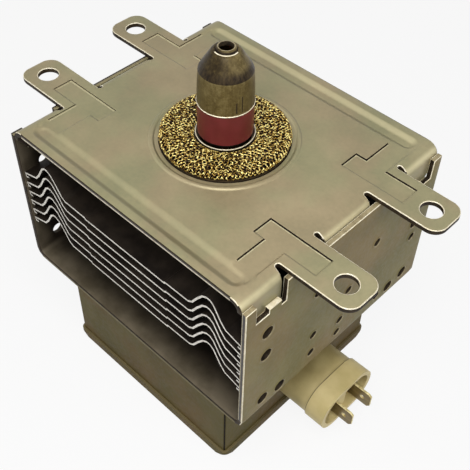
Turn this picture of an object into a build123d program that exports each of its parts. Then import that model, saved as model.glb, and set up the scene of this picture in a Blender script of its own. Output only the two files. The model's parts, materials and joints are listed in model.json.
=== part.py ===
from build123d import *

import os
from math import cos, hypot, pi, sin

# Magnetron of a microwave oven, in millimetres.
# The origin is on the mounting face, the top of the ears, on the antenna axis. +Z points out of the antenna,
# +X to the side of the connector. The fins are open to the air along Y.

# Yoke, bent from steel sheet
SHEET = 1.6
YOKE_HALF_X = 46.36
YOKE_HALF_Y = 40.0
YOKE_BOTTOM = -54.37
YOKE_BEND = 3.2
PLATE_ROLL = 3.6
FLANGE_BOTTOM = -12.8
FLANGE_END_CUT = 6.5

# Mounting ears
EAR_HOLE_X = 57.77
EAR_HOLE_Y = 17.48
EAR_HOLE_RADIUS = 3.1
EAR_WIDTH = 13.0
EAR_TIP = 6.53
EAR_CORNER = 4.0
EAR_RELIEF = 1.6
EAR_ROOT_INSET = 3.16
EAR_OVER_WALL = 0.1

# Pressed shapes of the top plate: a channel along each open side, a shallow step from its ends to the ears,
# and a raised ring round the gasket
CHANNEL_END_GAP = 0.4
CHANNEL_INSET = 5.4
CHANNEL_HALF_WIDTH = 3.2
CHANNEL_DEPTH = 0.75
CHANNEL_SLOPE = 2.4
STEP_DEPTH = 0.35
STEP_ARM_WIDTH = 7.0
STEP_ARM_INSET = 0.35
STEP_TONGUE_WIDTH = 6.7
STEP_TONGUE_START = 30.25
STEP_TONGUE_LENGTH = 20.7
STEP_CORNER = 0.7
RING_CLEARANCE = 1.25
RING_WIDTH = 1.75
RING_HEIGHT = 0.4

# Top edges of the side walls, from the front edge inwards
WALL_TOP_CORNER = -2.8
WALL_NOTCH_BOTTOM = -9.2
WALL_TAB_TOP = -7.6
WALL_SLOT_BOTTOM = -9.6
WALL_CORNER_WIDTH = 3.7
WALL_NOTCH_WIDTH = 4.7
WALL_TAB_WIDTH = 4.5
WALL_SLOT_WIDTH = 1.8

# Punched holes of the side walls, as places along Y and heights above the bottom of the yoke
LARGE_HOLE_RADIUS = 2.0
SMALL_HOLE_RADIUS = 1.35
LARGE_HOLES = (
    (-31.8, 37.77),
    (-31.8, 27.97),
    (-31.9, 7.07),
    (-24.7, 5.57),
    (25.8, 5.97),
    (32.8, 7.07),
    (33.0, 29.67),
)
SMALL_HOLES = (
    (-12.0, 35.97),
    (13.5, 35.97),
    (2.9, 24.17),
    (33.2, 23.37),
    (-11.5, 16.77),
    (13.7, 16.37),
    (1.0, 12.07),
    (-11.5, 8.37),
    (13.7, 8.37),
    (0.5, 6.57),
    (19.7, 6.57),
)

# Ring magnets and the anode between them
MAGNET_HEIGHT = 12.0
MAGNET_OUTER_RADIUS = 24.5
MAGNET_BORE_CLEARANCE = 0.9
MAGNET_CHAMFER = 0.7
SHELL_THICKNESS = 1.0
ANODE_OUTER_RADIUS = 19.5
ANODE_WALL = 2.0
ANODE_SEAT_WIDTH = 1.0
ANODE_SEAT_DEPTH = 1.5

# Resonator inside the anode
VANE_COUNT = 10
VANE_TIP_RADIUS = 4.5
VANE_THICKNESS = 2.0
VANE_HEIGHT = 9.5
STRAP_SEAT_DEPTH = 1.0
STRAP_CLEAR_DEPTH = 1.6
STRAP_HEIGHT = 0.8
STRAP_WIDTH = 0.7
STRAP_CLEARANCE = 0.4
INNER_STRAP_RADIUS = 5.6

# Pole pieces
POLE_BORE_RADIUS = 4.8
POLE_FLAT_RADIUS = 9.2
POLE_CONE_INSET = 0.5
POLE_SHEET = 1.5
POLE_TO_VANE = 1.2
ANTENNA_LEAD_RADIUS = 1.0
ANTENNA_LEAD_FROM_NOTCH = 0.2
ANTENNA_LEAD_STRAIGHT = 1.13
ANTENNA_LEAD_SLANT = 9.0
LEAD_HOLE_CLEARANCE = 1.0

# Necks of the shells, and the ceramics that they hold
NECK_OUTER_RADIUS = 8.32
NECK_WALL = 0.82
NECK_FOOT_FLARE = 1.28
NECK_FOOT_RISE = 1.8
CERAMIC_SEAT_WALL = 0.32
CERAMIC_SEAT = 1.0
CERAMIC_CLEARANCE = 0.24
UPPER_NECK_TOP = 2.5
LOWER_NECK_DROP = 3.63
ANTENNA_CERAMIC_WALL = 1.8
ANTENNA_CERAMIC_HEIGHT = 10.78

# Antenna cap and the exhaust tube inside it
CAP_OVERHANG = 0.2
CAP_SHEET = 0.5
CAP_SIDE_HEIGHT = 7.52
CAP_DOME_HEIGHT = 9.45
CAP_DOME_BULGE = 0.75
CAP_RIM_RADIUS = 3.6
CAP_RIM_HEIGHT = 0.45
CAP_RIM_CHAMFER = 0.45
CAP_HOLE_DEPTH = 0.75
CAP_HOLE_RADIUS = 2.05
TUBE_CUP_HEIGHT = 2.92
TUBE_WALL = 0.8
TUBE_RADIUS = 3.0
TUBE_ROUND_HEIGHT = 6.72
TUBE_PINCH_HEIGHT = 6.5
TUBE_PINCH_HALF_WIDTH = 4.2
TUBE_PINCH_HALF_THICKNESS = 0.5

# Cathode
HAT_RADIUS = 3.6
HAT_HEIGHT = 1.2
HAT_TO_VANE = 0.4
LOWER_HAT_BORE = 1.0
LEAD_RADIUS = 0.5
LEAD_OFFSET = 2.4
LEAD_BEND_DROP = 4.23
LEAD_BEND_HEIGHT = 6.0
FILAMENT_RADIUS = 1.9
FILAMENT_WIRE = 0.3
FILAMENT_TURNS = 8
FILAMENT_STEPS = 10

# Stem below the tube
STEM_DROP = 9.0
STEM_FLOOR = 3.0
STEM_WALL = 2.0
STEM_LEAD_HOLE = 0.9
TERMINAL_THICKNESS = 0.6
TERMINAL_INSET = 1.0
TERMINAL_GAP = 1.2
TERMINAL_TAB_WIDTH = 3.0
TERMINAL_TAB_THICKNESS = 0.8
TERMINAL_TAB_Y = 5.5
TERMINAL_TAB_DROP = 5.0

# Gasket round the antenna neck
GASKET_RING_INSET = 0.25
GASKET_RING_THICKNESS = 0.5
GASKET_COLLAR_THICKNESS = 0.3
GASKET_COLLAR_TOP = 1.4
GASKET_COLLAR_CLEARANCE = 0.13
GASKET_OUTER_RADIUS = 18.65
GASKET_HEIGHT = 2.2
GASKET_ROUND = 0.9
GASKET_RIDGES = 36
GASKET_GROOVE_DEPTH = 0.35

# Cooling fins
FIN_COUNT = 6
FIN_SHEET = 0.6
FIN_INSET_Y = 0.8
FIN_BELOW_ANODE_TOP = 1.8
FIN_ABOVE_ANODE_BOTTOM = 4.47
FIN_COLLAR_THICKNESS = 0.6
FIN_COLLAR_GAP = 1.03
FIN_JOG_X = 16.1
FIN_JOG_RUN = 0.4
FIN_JOG_RISE = 0.45
FIN_BOWL_CLEARANCE = 0.7
FIN_BOWL_RISE = 0.15
# Upper face of a fin outside its bowl: how far out from the bowl's edge, and how high above that edge
FIN_SHOULDER = (
    (1.4, 0.9),
    (3.2, 3.8),
    (5.2, 6.5),
    (6.8, 7.45),
    (8.2, 7.45),
    (9.6, 6.4),
    (12.1, 2.2),
    (13.8, 0.2),
)
FIN_END_DROP = 1.5
FIN_LIP_HEIGHT = 1.9
FIN_HOOK_INSET = 0.3
FIN_HOOK_LENGTH = 1.4
FIN_HOOK_RISE = 0.4

# Filter box below the yoke
BOX_HALF_X = 35.2
BOX_HALF_Y = 35.0
BOX_SHEET = 0.8
BOX_CORNER = 1.0
BOX_HOLE_RADIUS = 11.5
BOX_DEPTH = 37.68
LID_RIM_HEIGHT = 3.2
LID_CORNER_CUT = 3.8
LID_CORNER_TOP = 0.6
BURR_INSET_X = 6.2
BURR_INSET_Y = 16.0
BURR_BORE_RADIUS = 2.0
BURR_RADIUS = 2.6
BURR_HEAD_RADIUS = 3.4
BURR_HEAD_HEIGHT = 0.6

# Connector and feedthrough capacitor on the +X side of the box
CONNECTOR_DROP = 20.93
BODY_LENGTH = 12.8
COLLAR_LENGTH = 7.0
COLLAR_HALF_WIDTH = 12.2
COLLAR_HALF_HEIGHT = 7.5
COLLAR_STEP = 0.55
SOCKET_DEPTH = 10.0
SOCKET_END_WALL = 1.7
SOCKET_SIDE_WALL = 1.5
RIB_HALF_WIDTH = 1.9
RIB_SETBACK = 1.8
BODY_CLEARANCE = 0.3
CAPACITOR_HALF_WIDTH = 10.5
CAPACITOR_HALF_HEIGHT = 5.8
CAPACITOR_LENGTH = 8.0
CAPACITOR_CLEARANCE = 0.15
CAPACITOR_BORE = 2.1
CASE_LENGTH = 11.4
CASE_WALL = 1.3
FLANGE_THICKNESS = 1.0
FLANGE_MARGIN = 3.4
FLANGE_HALF_Z = 9.5
FLANGE_CORNER = 2.5
FLANGE_HOLE_RADIUS = 3.2
RIVET_Y = 17.6
RIVET_RADIUS = 1.5
RIVET_HEAD_RADIUS = 2.6
RIVET_HEAD_HEIGHT = 0.8
TAB_Y = 4.6
TAB_REACH = 6.0
TAB_HEIGHT = 6.35
TAB_THICKNESS = 0.8
TAB_TIP_CHAMFER = 1.0
TAB_HOLE_RADIUS = 0.7
ROD_RADIUS = 1.4
ROD_TAIL = 4.0

# Chokes
CHOKE_Y = 15.5
CHOKE_START_X = -14.0
CHOKE_PITCH = 2.0
CHOKE_TURNS = 10
CHOKE_STEPS = 12
CHOKE_WIRE = 0.75
CHOKE_RADIUS = 3.5
CHOKE_TAIL = 7.0
CHOKE_LEAD_RUN = 3.5
CHOKE_LEAD_INSET = 6.5
CHOKE_LEAD_LIFT = 2.0
CORE_GAP = 0.02
CORE_OVERHANG = 2.0

# Margins of the modelling itself: how far a cutting solid runs past what it cuts, how far a raised shape
# starts inside what carries it, and how near two values count as equal
CUT = 1.0
SINK = 0.2
EQUAL = 0.01

# Places worked out from the values above
PLATE_HALF_X = YOKE_HALF_X - SHEET
YOKE_FLOOR = YOKE_BOTTOM + SHEET
EAR_END_X = EAR_HOLE_X + EAR_TIP
EAR_ROOT_X = PLATE_HALF_X - EAR_ROOT_INSET
CHANNEL_HALF_LENGTH = PLATE_HALF_X - PLATE_ROLL - CHANNEL_END_GAP
CHANNEL_Y = YOKE_HALF_Y - CHANNEL_INSET
STEP_ARM_OUT = PLATE_HALF_X - PLATE_ROLL - STEP_ARM_INSET
STEP_TONGUE_IN_Y = EAR_HOLE_Y - STEP_TONGUE_WIDTH / 2
STEP_TONGUE_OUT_Y = EAR_HOLE_Y + STEP_TONGUE_WIDTH / 2
RING_INNER_RADIUS = GASKET_OUTER_RADIUS + RING_CLEARANCE
RING_OUTER_RADIUS = RING_INNER_RADIUS + RING_WIDTH
WALL_TOP_MIDDLE = -SHEET - EAR_OVER_WALL
WALL_CORNER_IN = YOKE_HALF_Y - WALL_CORNER_WIDTH
WALL_NOTCH_IN = WALL_CORNER_IN - WALL_NOTCH_WIDTH
WALL_TAB_IN = WALL_NOTCH_IN - WALL_TAB_WIDTH
WALL_SLOT_IN = WALL_TAB_IN - WALL_SLOT_WIDTH

UPPER_MAGNET_TOP = -SHEET
UPPER_MAGNET_BOTTOM = UPPER_MAGNET_TOP - MAGNET_HEIGHT
LOWER_MAGNET_BOTTOM = YOKE_FLOOR
LOWER_MAGNET_TOP = LOWER_MAGNET_BOTTOM + MAGNET_HEIGHT
ANODE_TOP = UPPER_MAGNET_BOTTOM - SHELL_THICKNESS
ANODE_BOTTOM = LOWER_MAGNET_TOP + SHELL_THICKNESS
ANODE_MIDDLE = (ANODE_TOP + ANODE_BOTTOM) / 2
ANODE_INNER_RADIUS = ANODE_OUTER_RADIUS - ANODE_WALL
ANODE_SEAT_RADIUS = ANODE_INNER_RADIUS + ANODE_SEAT_WIDTH
NECK_INNER_RADIUS = NECK_OUTER_RADIUS - NECK_WALL
NECK_FOOT_RADIUS = NECK_OUTER_RADIUS + NECK_FOOT_FLARE
MAGNET_BORE_RADIUS = NECK_FOOT_RADIUS + MAGNET_BORE_CLEARANCE
LOWER_NECK_BOTTOM = YOKE_BOTTOM - LOWER_NECK_DROP

VANE_TOP = ANODE_MIDDLE + VANE_HEIGHT / 2
VANE_BOTTOM = ANODE_MIDDLE - VANE_HEIGHT / 2
OUTER_STRAP_RADIUS = INNER_STRAP_RADIUS + STRAP_WIDTH + 2 * STRAP_CLEARANCE
VANE_NOTCH_IN = INNER_STRAP_RADIUS - STRAP_CLEARANCE
VANE_NOTCH_MIDDLE = INNER_STRAP_RADIUS + STRAP_WIDTH + STRAP_CLEARANCE
VANE_NOTCH_OUT = OUTER_STRAP_RADIUS + STRAP_WIDTH + STRAP_CLEARANCE
HAT_FACE = VANE_TOP + HAT_TO_VANE
LOWER_HAT_FACE = VANE_BOTTOM - HAT_TO_VANE
POLE_FLAT = VANE_TOP + POLE_TO_VANE
POLE_CONE_RADIUS = ANODE_INNER_RADIUS - POLE_CONE_INSET
ANTENNA_LEAD_X = VANE_NOTCH_OUT + ANTENNA_LEAD_FROM_NOTCH + ANTENNA_LEAD_RADIUS
ANTENNA_LEAD_BEND = POLE_FLAT + POLE_SHEET + ANTENNA_LEAD_STRAIGHT
ANTENNA_LEAD_CENTRED = ANTENNA_LEAD_BEND + ANTENNA_LEAD_SLANT
LEAD_HOLE_RADIUS = ANTENNA_LEAD_RADIUS + LEAD_HOLE_CLEARANCE
LEAD_BEND_TOP = ANODE_BOTTOM - LEAD_BEND_DROP
LEAD_BEND_BOTTOM = LEAD_BEND_TOP - LEAD_BEND_HEIGHT

CERAMIC_SEAT_RADIUS = NECK_OUTER_RADIUS - CERAMIC_SEAT_WALL
CERAMIC_RADIUS = CERAMIC_SEAT_RADIUS - CERAMIC_CLEARANCE
ANTENNA_CERAMIC_BORE = CERAMIC_RADIUS - ANTENNA_CERAMIC_WALL
ANTENNA_CERAMIC_TOP = UPPER_NECK_TOP + ANTENNA_CERAMIC_HEIGHT
CAP_RADIUS = CERAMIC_RADIUS + CAP_OVERHANG
CAP_SHOULDER = ANTENNA_CERAMIC_TOP + CAP_SIDE_HEIGHT
CAP_TOP = CAP_SHOULDER + CAP_DOME_HEIGHT
TUBE_CUP_TOP = ANTENNA_CERAMIC_TOP + TUBE_CUP_HEIGHT
TUBE_PINCH_START = ANTENNA_CERAMIC_TOP + TUBE_ROUND_HEIGHT
TUBE_PINCH_TOP = TUBE_PINCH_START + TUBE_PINCH_HEIGHT
STEM_BOTTOM = LOWER_NECK_BOTTOM - STEM_DROP
STEM_BORE_RADIUS = CERAMIC_RADIUS - STEM_WALL
TERMINAL_RADIUS = CERAMIC_RADIUS - TERMINAL_INSET
TERMINAL_TAB_BOTTOM = STEM_BOTTOM - TERMINAL_TAB_DROP

GASKET_RING_RADIUS = GASKET_OUTER_RADIUS - GASKET_RING_INSET
GASKET_COLLAR_RADIUS = NECK_OUTER_RADIUS + GASKET_COLLAR_THICKNESS
GASKET_INNER_RADIUS = GASKET_COLLAR_RADIUS + GASKET_COLLAR_CLEARANCE
FIN_HALF_Y = YOKE_HALF_Y - FIN_INSET_Y
FIN_FACE = ANODE_TOP - FIN_BELOW_ANODE_TOP
FIN_PITCH = (FIN_FACE - ANODE_BOTTOM - FIN_ABOVE_ANODE_BOTTOM) / (FIN_COUNT - 1)
FIN_COLLAR_DROP = FIN_PITCH - FIN_JOG_RISE - FIN_COLLAR_GAP
FIN_BOWL_X = MAGNET_OUTER_RADIUS + FIN_BOWL_CLEARANCE
FIN_BOWL_Z = FIN_FACE + FIN_JOG_RISE + FIN_BOWL_RISE

BOX_TOP = YOKE_BOTTOM
LID_BOTTOM = BOX_TOP - BOX_DEPTH
BOX_BOTTOM = LID_BOTTOM + BOX_SHEET
BURR_X = BOX_HALF_X - BURR_INSET_X
BURR_Y = BOX_HALF_Y - BURR_INSET_Y
CONNECTOR_Z = BOX_TOP - CONNECTOR_DROP
COLLAR_START_X = BOX_HALF_X + BODY_LENGTH
CONNECTOR_END_X = COLLAR_START_X + COLLAR_LENGTH
SOCKET_FLOOR_X = CONNECTOR_END_X - SOCKET_DEPTH
SOCKET_HALF_WIDTH = COLLAR_HALF_WIDTH - SOCKET_END_WALL
SOCKET_HALF_HEIGHT = COLLAR_HALF_HEIGHT - SOCKET_SIDE_WALL
RIB_END_X = CONNECTOR_END_X - RIB_SETBACK
BODY_HALF_WIDTH = COLLAR_HALF_WIDTH - COLLAR_STEP
BODY_HALF_HEIGHT = COLLAR_HALF_HEIGHT - COLLAR_STEP
TAB_END_X = CONNECTOR_END_X + TAB_REACH
FLANGE_FACE_X = BOX_HALF_X - BOX_SHEET
FLANGE_BACK_X = FLANGE_FACE_X - FLANGE_THICKNESS
FLANGE_HALF_Y = RIVET_Y + FLANGE_MARGIN
CAPACITOR_END_X = FLANGE_FACE_X + CAPACITOR_LENGTH
CASE_END_X = FLANGE_BACK_X - CASE_LENGTH
ROD_START_X = CASE_END_X - ROD_TAIL
CORE_RADIUS = CHOKE_RADIUS * cos(pi / CHOKE_STEPS) - CHOKE_WIRE - CORE_GAP


def block(x0, x1, y0, y1, z0, z1):
    """Box between two corners."""
    return Pos((x0 + x1) / 2, (y0 + y1) / 2, (z0 + z1) / 2) * Box(abs(x1 - x0), abs(y1 - y0), abs(z1 - z0))


def post(radius, z0, z1, x=0.0, y=0.0):
    """Upright cylinder."""
    return Pos(x, y, (z0 + z1) / 2) * Cylinder(radius, z1 - z0)


def bar_x(radius, x0, x1, y, z):
    """Cylinder that lies along X."""
    return Pos((x0 + x1) / 2, y, z) * Rot(0, 90, 0) * Cylinder(radius, x1 - x0)


def tube(outer, inner, z0, z1):
    """Ring about the antenna axis."""
    return post(outer, z0, z1) - post(inner, z0, z1)


def turned(points):
    """Closed outline of (radius, z) turned about the antenna axis."""
    outline = Plane.XZ * make_face(Polyline(*points, close=True))
    return revolve(outline, Axis.Z, 360)


def along_y(face, half):
    """Face drawn with X and Z, drawn out both ways along Y."""
    return extrude(Plane.XZ * face, amount=half, both=True)


def mirrored(solid, middle):
    """The same solid below the height middle."""
    return mirror(solid, Plane.XY.offset(middle))


def stadium_x(half_width, half_height, x0, x1, z):
    """Oval bar along X, wide along Y, with round ends."""
    outline = SlotOverall(2 * half_width, 2 * half_height)
    return extrude(Plane((x0, 0, z), x_dir=(0, 1, 0), z_dir=(1, 0, 0)) * outline, amount=x1 - x0)


def ribbon(points, thickness):
    """Closed outline of a bent sheet whose upper face follows the points, from left to right."""
    below = []
    for i, (x, z) in enumerate(points):
        normals = []
        for a, b in ((i - 1, i), (i, i + 1)):
            if a >= 0 and b < len(points):
                dx = points[b][0] - points[a][0]
                dz = points[b][1] - points[a][1]
                normals.append((dz / hypot(dx, dz), -dx / hypot(dx, dz)))
        nx = sum(n[0] for n in normals)
        nz = sum(n[1] for n in normals)
        size = hypot(nx, nz)
        nx, nz = nx / size, nz / size
        mitre = thickness / (nx * normals[0][0] + nz * normals[0][1])
        below.append((x + nx * mitre, z + nz * mitre))
    return list(points) + below[::-1]


def wire(points, radius, sides):
    """Wire with flat sides that follows the points with mitred bends."""
    start = Vector(*points[0])
    path = Polyline(*points)
    section = Plane(start, z_dir=Vector(*points[1]) - start) * RegularPolygon(radius, sides)
    return sweep(section, path=path, transition=Transition.RIGHT)


def round_wire(points, radius):
    """Round wire that follows the points with mitred bends."""
    start = Vector(*points[0])
    path = Polyline(*points)
    section = Plane(start, z_dir=Vector(*points[1]) - start) * Circle(radius)
    return sweep(section, path=path, transition=Transition.RIGHT)


def upper_yoke_plate():
    outline = [
        (-PLATE_HALF_X, FLANGE_BOTTOM),
        (-PLATE_HALF_X, 0),
        (PLATE_HALF_X, 0),
        (PLATE_HALF_X, FLANGE_BOTTOM),
        (PLATE_HALF_X - SHEET, FLANGE_BOTTOM),
        (PLATE_HALF_X - SHEET, -SHEET),
        (SHEET - PLATE_HALF_X, -SHEET),
        (SHEET - PLATE_HALF_X, FLANGE_BOTTOM),
    ]
    face = make_face(Polyline(*outline, close=True))
    face = fillet([v for v in face.vertices() if v.Y > -EQUAL], PLATE_ROLL)
    face = fillet([v for v in face.vertices() if abs(v.Y + SHEET) < EQUAL], PLATE_ROLL - SHEET)
    plate = along_y(face, YOKE_HALF_Y)

    ear_near = EAR_HOLE_Y - EAR_WIDTH / 2
    ear_far = EAR_HOLE_Y + EAR_WIDTH / 2
    relief_x = EAR_ROOT_X + EAR_RELIEF / 2
    for sx in (-1, 1):
        for sy in (-1, 1):
            y0 = sy * (ear_near - EAR_RELIEF)
            y1 = sy * (ear_far + EAR_RELIEF)
            plate -= block(sx * relief_x, sx * EAR_END_X, y0, y1, FLANGE_BOTTOM - CUT, CUT)
            for y in (ear_near - EAR_RELIEF / 2, ear_far + EAR_RELIEF / 2):
                plate -= post(EAR_RELIEF / 2, FLANGE_BOTTOM, CUT, sx * relief_x, sy * y)
            ear = block(sx * relief_x, sx * EAR_END_X, sy * ear_near, sy * ear_far, -SHEET, 0)
            tips = ear.edges().filter_by(Axis.Z).filter_by(lambda e: abs(e.center().X) > EAR_HOLE_X)
            ear = fillet(tips, EAR_CORNER)
            plate += ear
            plate -= post(EAR_HOLE_RADIUS, -SHEET - CUT, CUT, sx * EAR_HOLE_X, sy * EAR_HOLE_Y)

    for sy in (-1, 1):
        plate += channel(sy * CHANNEL_Y, -SHEET)
        plate -= channel(sy * CHANNEL_Y, 0.0)
        plate -= flange_end_cut(sy)
        for sx in (-1, 1):
            plate -= pressed_step(sx, sy)
    middle = (RING_INNER_RADIUS + RING_OUTER_RADIUS) / 2
    crest = (RING_OUTER_RADIUS - RING_INNER_RADIUS) / 6
    plate += turned([
        (RING_INNER_RADIUS, -SINK),
        (RING_INNER_RADIUS, 0.0),
        (middle - crest, RING_HEIGHT),
        (middle + crest, RING_HEIGHT),
        (RING_OUTER_RADIUS, 0.0),
        (RING_OUTER_RADIUS, -SINK),
    ])
    return plate - post(MAGNET_BORE_RADIUS, -SHEET - CUT, CUT)


def channel(y, top):
    """Shallow trough along X with sloping sides and round ends, from the height top down."""
    upper = Pos(0, y, top) * SlotOverall(2 * CHANNEL_HALF_LENGTH, 2 * CHANNEL_HALF_WIDTH)
    floor_length = 2 * (CHANNEL_HALF_LENGTH - CHANNEL_SLOPE)
    floor_width = 2 * (CHANNEL_HALF_WIDTH - CHANNEL_SLOPE)
    floor = Pos(0, y, top - CHANNEL_DEPTH) * SlotOverall(floor_length, floor_width)
    return loft([upper.face(), floor.face()])


def pressed_step(sx, sy):
    """Cutter for the shallow step: an arm from the channel to the ear, and a tongue along the ear."""
    arm_in = STEP_ARM_OUT - STEP_ARM_WIDTH
    arm = block(sx * arm_in, sx * STEP_ARM_OUT, sy * EAR_HOLE_Y, sy * CHANNEL_Y, -STEP_DEPTH, CUT)
    tongue_out = STEP_TONGUE_START + STEP_TONGUE_LENGTH
    y_in = sy * STEP_TONGUE_IN_Y
    y_out = sy * STEP_TONGUE_OUT_Y
    tongue = block(sx * STEP_TONGUE_START, sx * tongue_out, y_in, y_out, -STEP_DEPTH, CUT)
    return arm + fillet(tongue.edges().filter_by(Axis.Z), STEP_CORNER)


def flange_end_cut(sy):
    """Cutter that slants the ends of the turned-down flanges."""
    face = make_face(Polyline(
        (sy * YOKE_HALF_Y, -PLATE_ROLL),
        (sy * (YOKE_HALF_Y - FLANGE_END_CUT), FLANGE_BOTTOM),
        (sy * (YOKE_HALF_Y - FLANGE_END_CUT), FLANGE_BOTTOM - CUT),
        (sy * (YOKE_HALF_Y + CUT), FLANGE_BOTTOM - CUT),
        (sy * (YOKE_HALF_Y + CUT), -PLATE_ROLL),
        close=True,
    ))
    return extrude(Plane.YZ * face, amount=YOKE_HALF_X, both=True)


def lower_yoke():
    outline = [
        (-YOKE_HALF_X, WALL_TOP_MIDDLE),
        (-YOKE_HALF_X, YOKE_BOTTOM),
        (YOKE_HALF_X, YOKE_BOTTOM),
        (YOKE_HALF_X, WALL_TOP_MIDDLE),
        (PLATE_HALF_X, WALL_TOP_MIDDLE),
        (PLATE_HALF_X, YOKE_FLOOR),
        (-PLATE_HALF_X, YOKE_FLOOR),
        (-PLATE_HALF_X, WALL_TOP_MIDDLE),
    ]
    face = make_face(Polyline(*outline, close=True))
    face = fillet([v for v in face.vertices() if abs(v.Y - YOKE_BOTTOM) < EQUAL], YOKE_BEND)
    face = fillet([v for v in face.vertices() if abs(v.Y - YOKE_FLOOR) < EQUAL], YOKE_BEND - SHEET)
    yoke = along_y(face, YOKE_HALF_Y)

    reach = YOKE_HALF_X + CUT
    for sy in (-1, 1):
        steps = (
            (WALL_SLOT_IN, YOKE_HALF_Y + CUT, WALL_TOP_CORNER),
            (WALL_NOTCH_IN, WALL_CORNER_IN, WALL_NOTCH_BOTTOM),
            (WALL_TAB_IN, WALL_NOTCH_IN, WALL_TAB_TOP),
            (WALL_SLOT_IN, WALL_TAB_IN, WALL_SLOT_BOTTOM),
        )
        for y0, y1, bottom in steps:
            yoke -= block(-reach, reach, sy * y0, sy * y1, bottom, 0)

    for holes, radius in ((LARGE_HOLES, LARGE_HOLE_RADIUS), (SMALL_HOLES, SMALL_HOLE_RADIUS)):
        for y, up in holes:
            yoke -= bar_x(radius, -reach, reach, y, YOKE_BOTTOM + up)
    yoke -= post(MAGNET_BORE_RADIUS, YOKE_BOTTOM - CUT, YOKE_FLOOR + CUT)
    for x, y in burr_places():
        yoke -= post(BURR_RADIUS, YOKE_BOTTOM - CUT, YOKE_FLOOR + CUT, x, y)
    return yoke


def burr_places():
    return [(sx * BURR_X, sy * BURR_Y) for sx in (-1, 1) for sy in (-1, 1)]


def magnet(bottom):
    ring = tube(MAGNET_OUTER_RADIUS, MAGNET_BORE_RADIUS, bottom, bottom + MAGNET_HEIGHT)
    return chamfer(ring.edges().filter_by(GeomType.CIRCLE), MAGNET_CHAMFER)


def cooling_fin(index):
    """Fin with a bowl round the magnet, high shoulders, hooked ends and a pressed collar."""
    end = FIN_BOWL_Z - FIN_END_DROP
    right = [(0, FIN_FACE), (FIN_JOG_X, FIN_FACE), (FIN_JOG_X + FIN_JOG_RUN, FIN_FACE + FIN_JOG_RISE)]
    right.append((FIN_BOWL_X, FIN_BOWL_Z))
    right += [(FIN_BOWL_X + out, FIN_BOWL_Z + up) for out, up in FIN_SHOULDER]
    hook_x = PLATE_HALF_X - FIN_HOOK_INSET
    hook_z = end - FIN_LIP_HEIGHT
    right += [(PLATE_HALF_X, end), (hook_x, hook_z), (hook_x - FIN_HOOK_LENGTH, hook_z + FIN_HOOK_RISE)]
    left = [(-x, z) for x, z in right[:0:-1]]
    face = make_face(Polyline(*ribbon(left + right, FIN_SHEET), close=True))
    fin = along_y(face, FIN_HALF_Y)
    low = FIN_FACE - FIN_COLLAR_DROP
    high = FIN_FACE + FIN_JOG_RISE
    fin += post(ANODE_OUTER_RADIUS + FIN_COLLAR_THICKNESS, low, high)
    fin -= post(ANODE_OUTER_RADIUS, low - CUT, high + CUT)
    return Pos(0, 0, -FIN_PITCH * index) * fin


def anode_cylinder():
    return turned([
        (ANODE_OUTER_RADIUS, ANODE_BOTTOM),
        (ANODE_OUTER_RADIUS, ANODE_TOP),
        (ANODE_SEAT_RADIUS, ANODE_TOP),
        (ANODE_SEAT_RADIUS, ANODE_TOP - ANODE_SEAT_DEPTH),
        (ANODE_INNER_RADIUS, ANODE_TOP - ANODE_SEAT_DEPTH),
        (ANODE_INNER_RADIUS, ANODE_BOTTOM + ANODE_SEAT_DEPTH),
        (ANODE_SEAT_RADIUS, ANODE_BOTTOM + ANODE_SEAT_DEPTH),
        (ANODE_SEAT_RADIUS, ANODE_BOTTOM),
    ])


def anode_vane(index):
    """Vane with strap notches. Even vanes carry the inner strap on top, odd ones the outer strap."""
    half = VANE_THICKNESS / 2
    vane = block(VANE_TIP_RADIUS, ANODE_INNER_RADIUS + CUT, -half, half, VANE_BOTTOM, VANE_TOP)
    vane &= post(ANODE_INNER_RADIUS, VANE_BOTTOM, VANE_TOP)
    inner_top = STRAP_SEAT_DEPTH if index % 2 == 0 else STRAP_CLEAR_DEPTH
    outer_top = STRAP_CLEAR_DEPTH if index % 2 == 0 else STRAP_SEAT_DEPTH
    for r0, r1, above, below in (
        (VANE_NOTCH_IN, VANE_NOTCH_MIDDLE, inner_top, outer_top),
        (VANE_NOTCH_MIDDLE, VANE_NOTCH_OUT, outer_top, inner_top),
    ):
        vane -= block(r0, r1, -half - CUT, half + CUT, VANE_TOP - above, VANE_TOP + CUT)
        vane -= block(r0, r1, -half - CUT, half + CUT, VANE_BOTTOM - CUT, VANE_BOTTOM + below)
    return Rot(0, 0, 360 / VANE_COUNT * index) * vane


def strap(radius):
    bottom = VANE_TOP - STRAP_SEAT_DEPTH
    return tube(radius + STRAP_WIDTH, radius, bottom, bottom + STRAP_HEIGHT)


def pole_piece(with_lead_hole):
    """Iron funnel whose rim sits on the shoulder at the upper end of the anode."""
    rim_bottom = ANODE_TOP - ANODE_SEAT_DEPTH
    flat = POLE_FLAT
    pole = turned([
        (ANODE_SEAT_RADIUS, ANODE_TOP),
        (ANODE_SEAT_RADIUS, rim_bottom),
        (POLE_CONE_RADIUS, rim_bottom),
        (POLE_FLAT_RADIUS, flat),
        (POLE_BORE_RADIUS, flat),
        (POLE_BORE_RADIUS, flat + POLE_SHEET),
        (POLE_FLAT_RADIUS + POLE_SHEET / 4, flat + POLE_SHEET),
        (POLE_CONE_RADIUS - POLE_SHEET / 4, ANODE_TOP),
    ])
    if with_lead_hole:
        pole -= post(LEAD_HOLE_RADIUS, flat - CUT, ANODE_TOP + CUT, ANTENNA_LEAD_X, 0)
    return pole


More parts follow.
